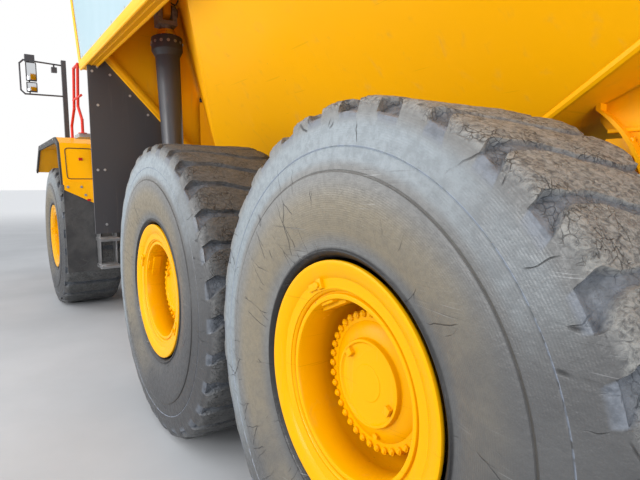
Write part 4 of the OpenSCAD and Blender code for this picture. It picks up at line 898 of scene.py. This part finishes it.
def cab_trim():
    for bm, side in both_sides("side_window_seals", seal_rubber, "tractor"):
        add_loop(bm, [(x, side * CAB_SEAL_Y, z) for x, z in corners_of(1.07, 2.60, 1.36, 3.48)], 0.011)

    bm = bmesh.new()
    add_loop(bm, [(x, -CAB_SEAL_Y, z) for x, z in corners_of(1.45, 2.60, 2.35, 3.48)], 0.012)
    add_loop(bm, [(0.979, y, z) for y, z in corners_of(-0.68, 2.66, 0.68, 3.48)], 0.012)
    windscreen = [(windscreen_x(z) + 0.001, y, z) for y, z in corners_of(-0.69, 2.64, 0.69, 3.48)]
    add_loop(bm, windscreen, 0.013, 0.06)
    add_loop(bm, [(x, y, 3.640) for x, y in corners_of(0.982, -0.802, 2.518, 0.802)], 0.010)
    joined("cab_seals", bm, seal_rubber, "tractor")

    bm = bmesh.new()
    wiper_foot = Vector((windscreen_x(2.62) + 0.010, 0.02, 2.620))
    wiper_end = Vector((windscreen_x(3.05) - 0.006, 0.20, 3.050))
    add_rod(bm, wiper_foot - Vector((0.03, 0, 0)), wiper_foot + Vector((0.012, 0, 0)), 0.018, 14)
    add_tube(bm, [wiper_foot, wiper_end], 0.007, 8)
    blade = [(windscreen_x(z) - 0.020, y, z) for y, z in ((0.06, 2.76), (0.34, 3.34))]
    add_tube(bm, blade, 0.009, 8)
    add_rod(bm, wiper_end, Vector(blade[0]).lerp(Vector(blade[1]), 0.5), 0.006, 8)
    joined("wiper", bm, seal_rubber, "tractor")

    bm = bmesh.new()
    add_loop(bm, [(x, CAB_SEAL_Y, z) for x, z in corners_of(1.54, 2.40, 2.26, 3.48)], 0.012)
    add_loop(bm, [(x, 0.799, z) for x, z in corners_of(1.462, 2.218, 2.338, 3.548)], 0.006)
    joined("door_seals", bm, seal_rubber, "cab_door")
    bm = bmesh.new()
    add_box(bm, (1.545, 0.797, 2.285), (1.665, 0.806, 2.345), 0.006)
    add_box(bm, (1.555, 0.806, 2.305), (1.640, 0.824, 2.325), 0.005)
    grip = [(1.500, 0.798, 2.50), (1.500, 0.840, 2.52), (1.500, 0.840, 3.10), (1.500, 0.798, 3.12)]
    add_tube(bm, grip, 0.011, 10, 0.03)
    joined("door_handles", bm, dark_paint, "cab_door")

    bm = bmesh.new()
    for y in ROOF_LAMPS_Y:
        add_slab(bm, (2.638, 2.655), y, 0.06, (3.675, 3.735), 0.005)
    joined("roof_lamp_housings", bm, dark_paint, "tractor")
    bm = bmesh.new()
    for y in ROOF_LAMPS_Y:
        add_slab(bm, (2.652, 2.660), y, 0.048, (3.684, 3.726), 0.004)
    joined("roof_lamp_lenses", bm, clear_lens, "tractor")


def hood_trim():
    for bm, side in both_sides("hood_louvres", dark_paint, "hood"):
        for k in range(9):
            x = 3.98 + 0.10 * k
            turn = Matrix.Rotation(math.radians(28 * side), 4, "Z")
            turn = Matrix.Translation((x, side * 0.782, 1.80)) @ turn
            add_box(bm, (-0.030, -0.004, -0.16), (0.030, 0.004, 0.16), 0.002, turn)
        add_slab(bm, (3.92, 4.84), side * HOOD_HALF, 0.003, (1.61, 1.63), 0.002)
        add_slab(bm, (3.92, 4.84), side * HOOD_HALF, 0.003, (1.97, 1.99), 0.002)

    for bm, side in both_sides("hood_catches", dark_paint, "hood"):
        add_box(bm, (2.86, side * HOOD_HALF - 0.004, 2.27), (2.92, side * HOOD_HALF + 0.012, 2.39), 0.004)
        add_rod(bm, (2.89, side * 0.785, 2.30), (2.89, side * 0.802, 2.30), 0.016, 12)
        add_box(bm, (4.95, side * HOOD_HALF - 0.004, 1.50), (5.03, side * HOOD_HALF + 0.010, 1.56), 0.004)
        handle = ((3.05, 2.480), (3.05, 2.525), (3.45, 2.490), (3.45, 2.450))
        add_tube(bm, [(x, side * 0.60, z) for x, z in handle], 0.010, 10, 0.03)

    bm = bmesh.new()
    add_loop(bm, [(2.757, y, z) for y, z in corners_of(-0.775, 1.50, 0.775, 2.512)], 0.008)
    add_loop(bm, [(5.5735 - 0.003, y, z) for y, z in corners_of(-0.565, 1.495, 0.565, 1.855)],
             0.007, 0.02)
    joined("hood_seals", bm, seal_rubber, "hood")
    bm = bmesh.new()
    add_box(bm, (5.524, -0.565, 1.495), (5.529, 0.565, 1.855))
    joined("grille_mesh", bm, mesh_screen, "hood", False)
    bm = bmesh.new()
    for x in (3.70, 3.95, 4.20):
        z = 2.44 - (x - 3.66) * 0.1986
        turn = Matrix.Translation((x, 0, z + 0.003)) @ Matrix.Rotation(math.radians(11.2), 4, "Y")
        add_box(bm, (-0.06, -0.35, -0.004), (0.06, 0.35, 0.006), 0.003, turn)
    joined("hood_vents", bm, dark_paint, "hood")


def tractor_trim():
    bm = bmesh.new()
    for z in (2.36, 2.90):
        add_ring(bm, (EXHAUST_X, EXHAUST_Y, z), (0, 0, 1), 0.075, 0.084, 0.030, 40)
    joined("exhaust_clamps", bm, grey_steel, "tractor")
    bm = bmesh.new()
    add_lathe(bm, corners_of(0.082, 0.0, 0.086, 0.525), 48,
              Matrix.Translation((EXHAUST_X, EXHAUST_Y, 2.38)))
    joined("exhaust_guard", bm, guard_screen, "tractor")
    bm = bmesh.new()
    add_ring(bm, (EXHAUST_X, EXHAUST_Y, 3.3395), (0, 0, 1), 0.060, 0.074, 0.004, 40)
    joined("exhaust_lip", bm, chrome, "tractor")
    bm = bmesh.new()
    add_rod(bm, (EXHAUST_X, EXHAUST_Y, 3.336), (EXHAUST_X, EXHAUST_Y, 3.3412), 0.060, 32)
    joined("exhaust_mouth", bm, soot, "tractor", False)

    bm = bmesh.new()
    for x in (1.065, 1.205):
        add_box(bm, (x, -1.404, 1.578), (x + 0.030, -0.81, 2.192), 0.003)
    joined("tank_straps", bm, grey_steel, "tractor")
    bm = bmesh.new()
    add_rod(bm, (1.150, -1.400, 2.06), (1.150, -1.425, 2.06), 0.050, 24)
    add_rod(bm, (1.150, -1.425, 2.06), (1.150, -1.435, 2.06), 0.044, 10)
    joined("tank_cap", bm, dark_paint, "tractor")

    for bm, side in both_sides("front_frame_bolts", grey_steel, "tractor"):
        spots = [(x, side * 0.450, z) for x in (3.3, 3.7, 4.1, 4.5, 4.9) for z in (1.10, 1.285)]
        add_bolts(bm, spots, (0, side, 0), 0.013, 0.011)
    bm = bmesh.new()
    for y in (-0.95, 0.95):
        add_slab(bm, (5.250, 5.475), y, 0.17, (1.2595, 1.2640), 0.002)
    joined("bumper_pads", bm, seal_rubber, "tractor")

    for bm, side in both_sides("front_frame_pipes", seal_rubber, "tractor"):
        y = side * 0.462
        add_tube(bm, [(1.72, y, 1.300), (2.10, y, 1.300), (2.16, y, 1.240), (4.60, y, 1.240)], 0.012, 8, 0.05)
        add_tube(bm, [(1.72, y, 1.265), (2.09, y, 1.265), (2.15, y, 1.205), (4.40, y, 1.205)], 0.009, 8, 0.05)
        for x in (1.80, 2.60, 3.40, 4.20):
            z = 1.300 if x < 2.1 else 1.240
            add_box(bm, (x - 0.012, y - side * 0.014 - 0.004, z - 0.052),
                    (x + 0.012, y + side * 0.010 + 0.004, z + 0.018), 0.002)


def load_frame_trim():
    for bm, side in both_sides("load_frame_bolts", grey_steel, "load_frame"):
        y = side * 0.4805
        rows = [(x, y, z) for x in (-0.10, -0.25, -0.40) for z in (1.20, 1.40)]
        rows += [(x, y, 1.43) for x in (-3.4, -3.1, -2.8, -2.5)]
        rows += [(x, y, 1.20) for x in (-3.6, -3.45, -2.45, -2.3)]
        add_bolts(bm, rows, (0, side, 0), 0.015, 0.012)
        cap = side * 0.7105
        for across, up in round_circle(8):
            add_bolt(bm, (BOGIE_X + 0.120 * across, cap, BOGIE_Z + 0.120 * up), (0, side, 0), 0.014, 0.012)
        add_ring(bm, (BOGIE_X, side * 0.7395, BOGIE_Z), (0, side, 0), 0.020, 0.075, 0.012, 36)
        for axle in (MIDDLE_X, REAR_X):
            for dx in (-0.09, 0.09):
                add_bolt(bm, (axle + dx, side * 0.635, 1.190), (0, 0, 1), 0.018, 0.016)

    bm = bmesh.new()
    for x in (MIDDLE_X, REAR_X):
        for across, up in round_circle(10):
            add_bolt(bm, (x - 0.300, 0.095 * across, HUB_Z + 0.095 * up), (-1, 0, 0), 0.010, 0.009)
    joined("differential_bolts", bm, grey_steel, "load_frame")

    for bm, side in both_sides("load_frame_pipes", seal_rubber, "load_frame"):
        y = side * 0.492
        upper = ((-0.55, 1.385), (-1.55, 1.385), (-1.75, 1.440), (-3.9, 1.440))
        lower = ((-0.55, 1.353), (-1.56, 1.353), (-1.76, 1.408), (-3.7, 1.408))
        for line, r in ((upper, 0.013), (lower, 0.010)):
            add_tube(bm, [(x, y, z) for x, z in line], r, 8, 0.08)
        for x in (-0.7, -1.3, -2.0, -2.7, -3.5):
            z = 1.385 if x > -1.6 else 1.440
            add_box(bm, (x - 0.014, side * 0.479 - 0.003, z - 0.055),
                    (x + 0.014, side * 0.508 + 0.003, z + 0.020), 0.003)

    bm = bmesh.new()
    for across, up in round_circle(12):
        add_bolt(bm, (0.5495, 0.205 * across, 1.150 + 0.205 * up), (1, 0, 0), 0.013, 0.004)
    joined("bearing_bolts", bm, grey_steel, "load_frame")


# Materials of the carried-over solids

def dress_solids():
    """Each carried-over solid's material, found by the start of its node's name."""
    glass = glass_material()
    looks = {
        "bed_shell": bed_paint, "hood": body_paint, "fender_panels": body_paint, "cab_shell": cab_paint,
        "cab_door": cab_paint, "cab_roof": white_paint, "sign_plates": plate_paint,
        "fender_lips": flap_rubber,
        "handrails": red_paint, "steps": grey_steel, "exhaust": grey_steel, "cab_interior": plastic(),
        "cab_glass": glass, "door_glass": glass, "splash_plates": dark_paint, "tanks": dark_paint,
        "mirrors": dark_paint, "headlamps": dark_paint, "tail_lamps": red_lens, "hoist_rod": rod_steel(),
        "hoist_stage": chrome, "steer_rod": chrome, "hoist_barrel": dark_paint,
    }
    for name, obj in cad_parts.items():
        fitting = [material for start, material in looks.items() if name.startswith(start)]
        obj.data.materials.clear()
        obj.data.materials.append(fitting[0] if fitting else frame_paint)


# Stage

def stage():
    scene = bpy.context.scene
    scene.view_settings.view_transform = "Standard"
    world = bpy.data.worlds.new("studio")
    world.use_nodes = True
    tree = Tree(world.node_tree)
    tree.nodes.clear()
    light = tree.node("Background", 0, {"Color": (0.93, 0.96, 1.0), "Strength": 0.8})
    seen = tree.node("Background", 0, {"Color": (1.0, 1.0, 1.0), "Strength": 1.0})
    ray = tree.node("LightPath", None, {})
    white = tree.math("MAXIMUM", ray["Is Camera Ray"], ray["Is Glossy Ray"])
    white = tree.math("MAXIMUM", white, ray["Is Transmission Ray"])
    tree.node("OutputWorld", None, {"Surface": tree.node("MixShader", 0, {0: white, 1: light, 2: seen})})
    scene.world = world

    for name, place_at, target, size, power in (
            ("key", (-5.0, 7.0, 11.0), (-2.5, 0.5, 1.2), 7.0, 360.0),
            ("fill", (4.0, 8.0, 5.0), (0.5, 1.0, 1.2), 6.0, 180.0),
            ("low", (-3.0, 14.0, 4.6), (-1.8, 1.2, 2.0), 4.5, 920.0),
            ("near", (-0.9, 5.0, 1.9), (-1.5, 1.2, 2.4), 2.0, 48.0),
            ("behind", (-11.5, 4.5, 1.6), (-1.0, 1.3, 2.4), 3.5, 230.0),
            ("back", (2.0, -9.0, 8.0), (0.0, 0.0, 1.5), 7.0, 420.0)):
        lamp = bpy.data.lights.new(name, "AREA")
        lamp.size = size
        lamp.energy = power
        obj = bpy.data.objects.new(name, lamp)
        obj.location = place_at
        obj.rotation_euler = (Vector(target) - Vector(place_at)).to_track_quat("-Z", "Y").to_euler()
        scene.collection.objects.link(obj)

    floor = bpy.data.meshes.new("floor")
    reach = 400.0
    floor.from_pydata([(x, y, 0) for x, y in corners_of(-reach, -reach, reach, reach)], [], [(0, 1, 2, 3)])
    s = Shade("floor", 0.85, 0.0, (0.72, 0.72, 0.72), 0.2)
    tone = s.mix(s.between(s.noise(0.8, 5.0), 0.3, 0.7), (0.43, 0.44, 0.455), (0.48, 0.49, 0.505))
    x, y, _ = s.split()
    tone = s.mix(s.between(s.length(x, y), 8.0, 36.0), tone, (1.0, 1.0, 1.0))
    s.finish(tone, None, s.noise(25.0, 4.0), 0.002, 0.2)
    floor.materials.append(s.mat)
    obj = bpy.data.objects.new("floor", floor)
    scene.collection.objects.link(obj)


# The camera as fitted to the photograph: place, yaw to the right, pitch down and roll in degrees, and
# lens in millimetres
CAMERA_AT = (-5.1615, 2.5929, 1.5867)
CAMERA_TURN = (34.97, 6.118, -0.302)
CAMERA_LENS = 28.12


def camera():
    yaw, pitch, roll = (math.radians(a) for a in CAMERA_TURN)
    ahead = Vector((math.cos(pitch) * math.cos(yaw), -math.cos(pitch) * math.sin(yaw), -math.sin(pitch)))
    level = ahead.cross(Vector((0, 0, 1))).normalized()
    upright = level.cross(ahead)
    right = math.cos(roll) * level + math.sin(roll) * upright
    up = math.cos(roll) * upright - math.sin(roll) * level
    data = bpy.data.cameras.new("camera")
    data.sensor_width = 36.0
    data.sensor_fit = "HORIZONTAL"
    data.lens = CAMERA_LENS
    data.clip_start = 0.05
    obj = bpy.data.objects.new("camera", data)
    turn = Matrix((right, up, -ahead)).transposed().to_4x4()
    obj.matrix_world = Matrix.Translation(CAMERA_AT) @ turn
    bpy.context.scene.collection.objects.link(obj)
    bpy.context.scene.camera = obj


camera()
stage()
dress_solids()
tyres()
rims()
for trim in (body_trim, hoist_trim, fender_trim, step_trim, mirror_trim, cab_trim, hood_trim, tractor_trim,
             load_frame_trim):
    trim()
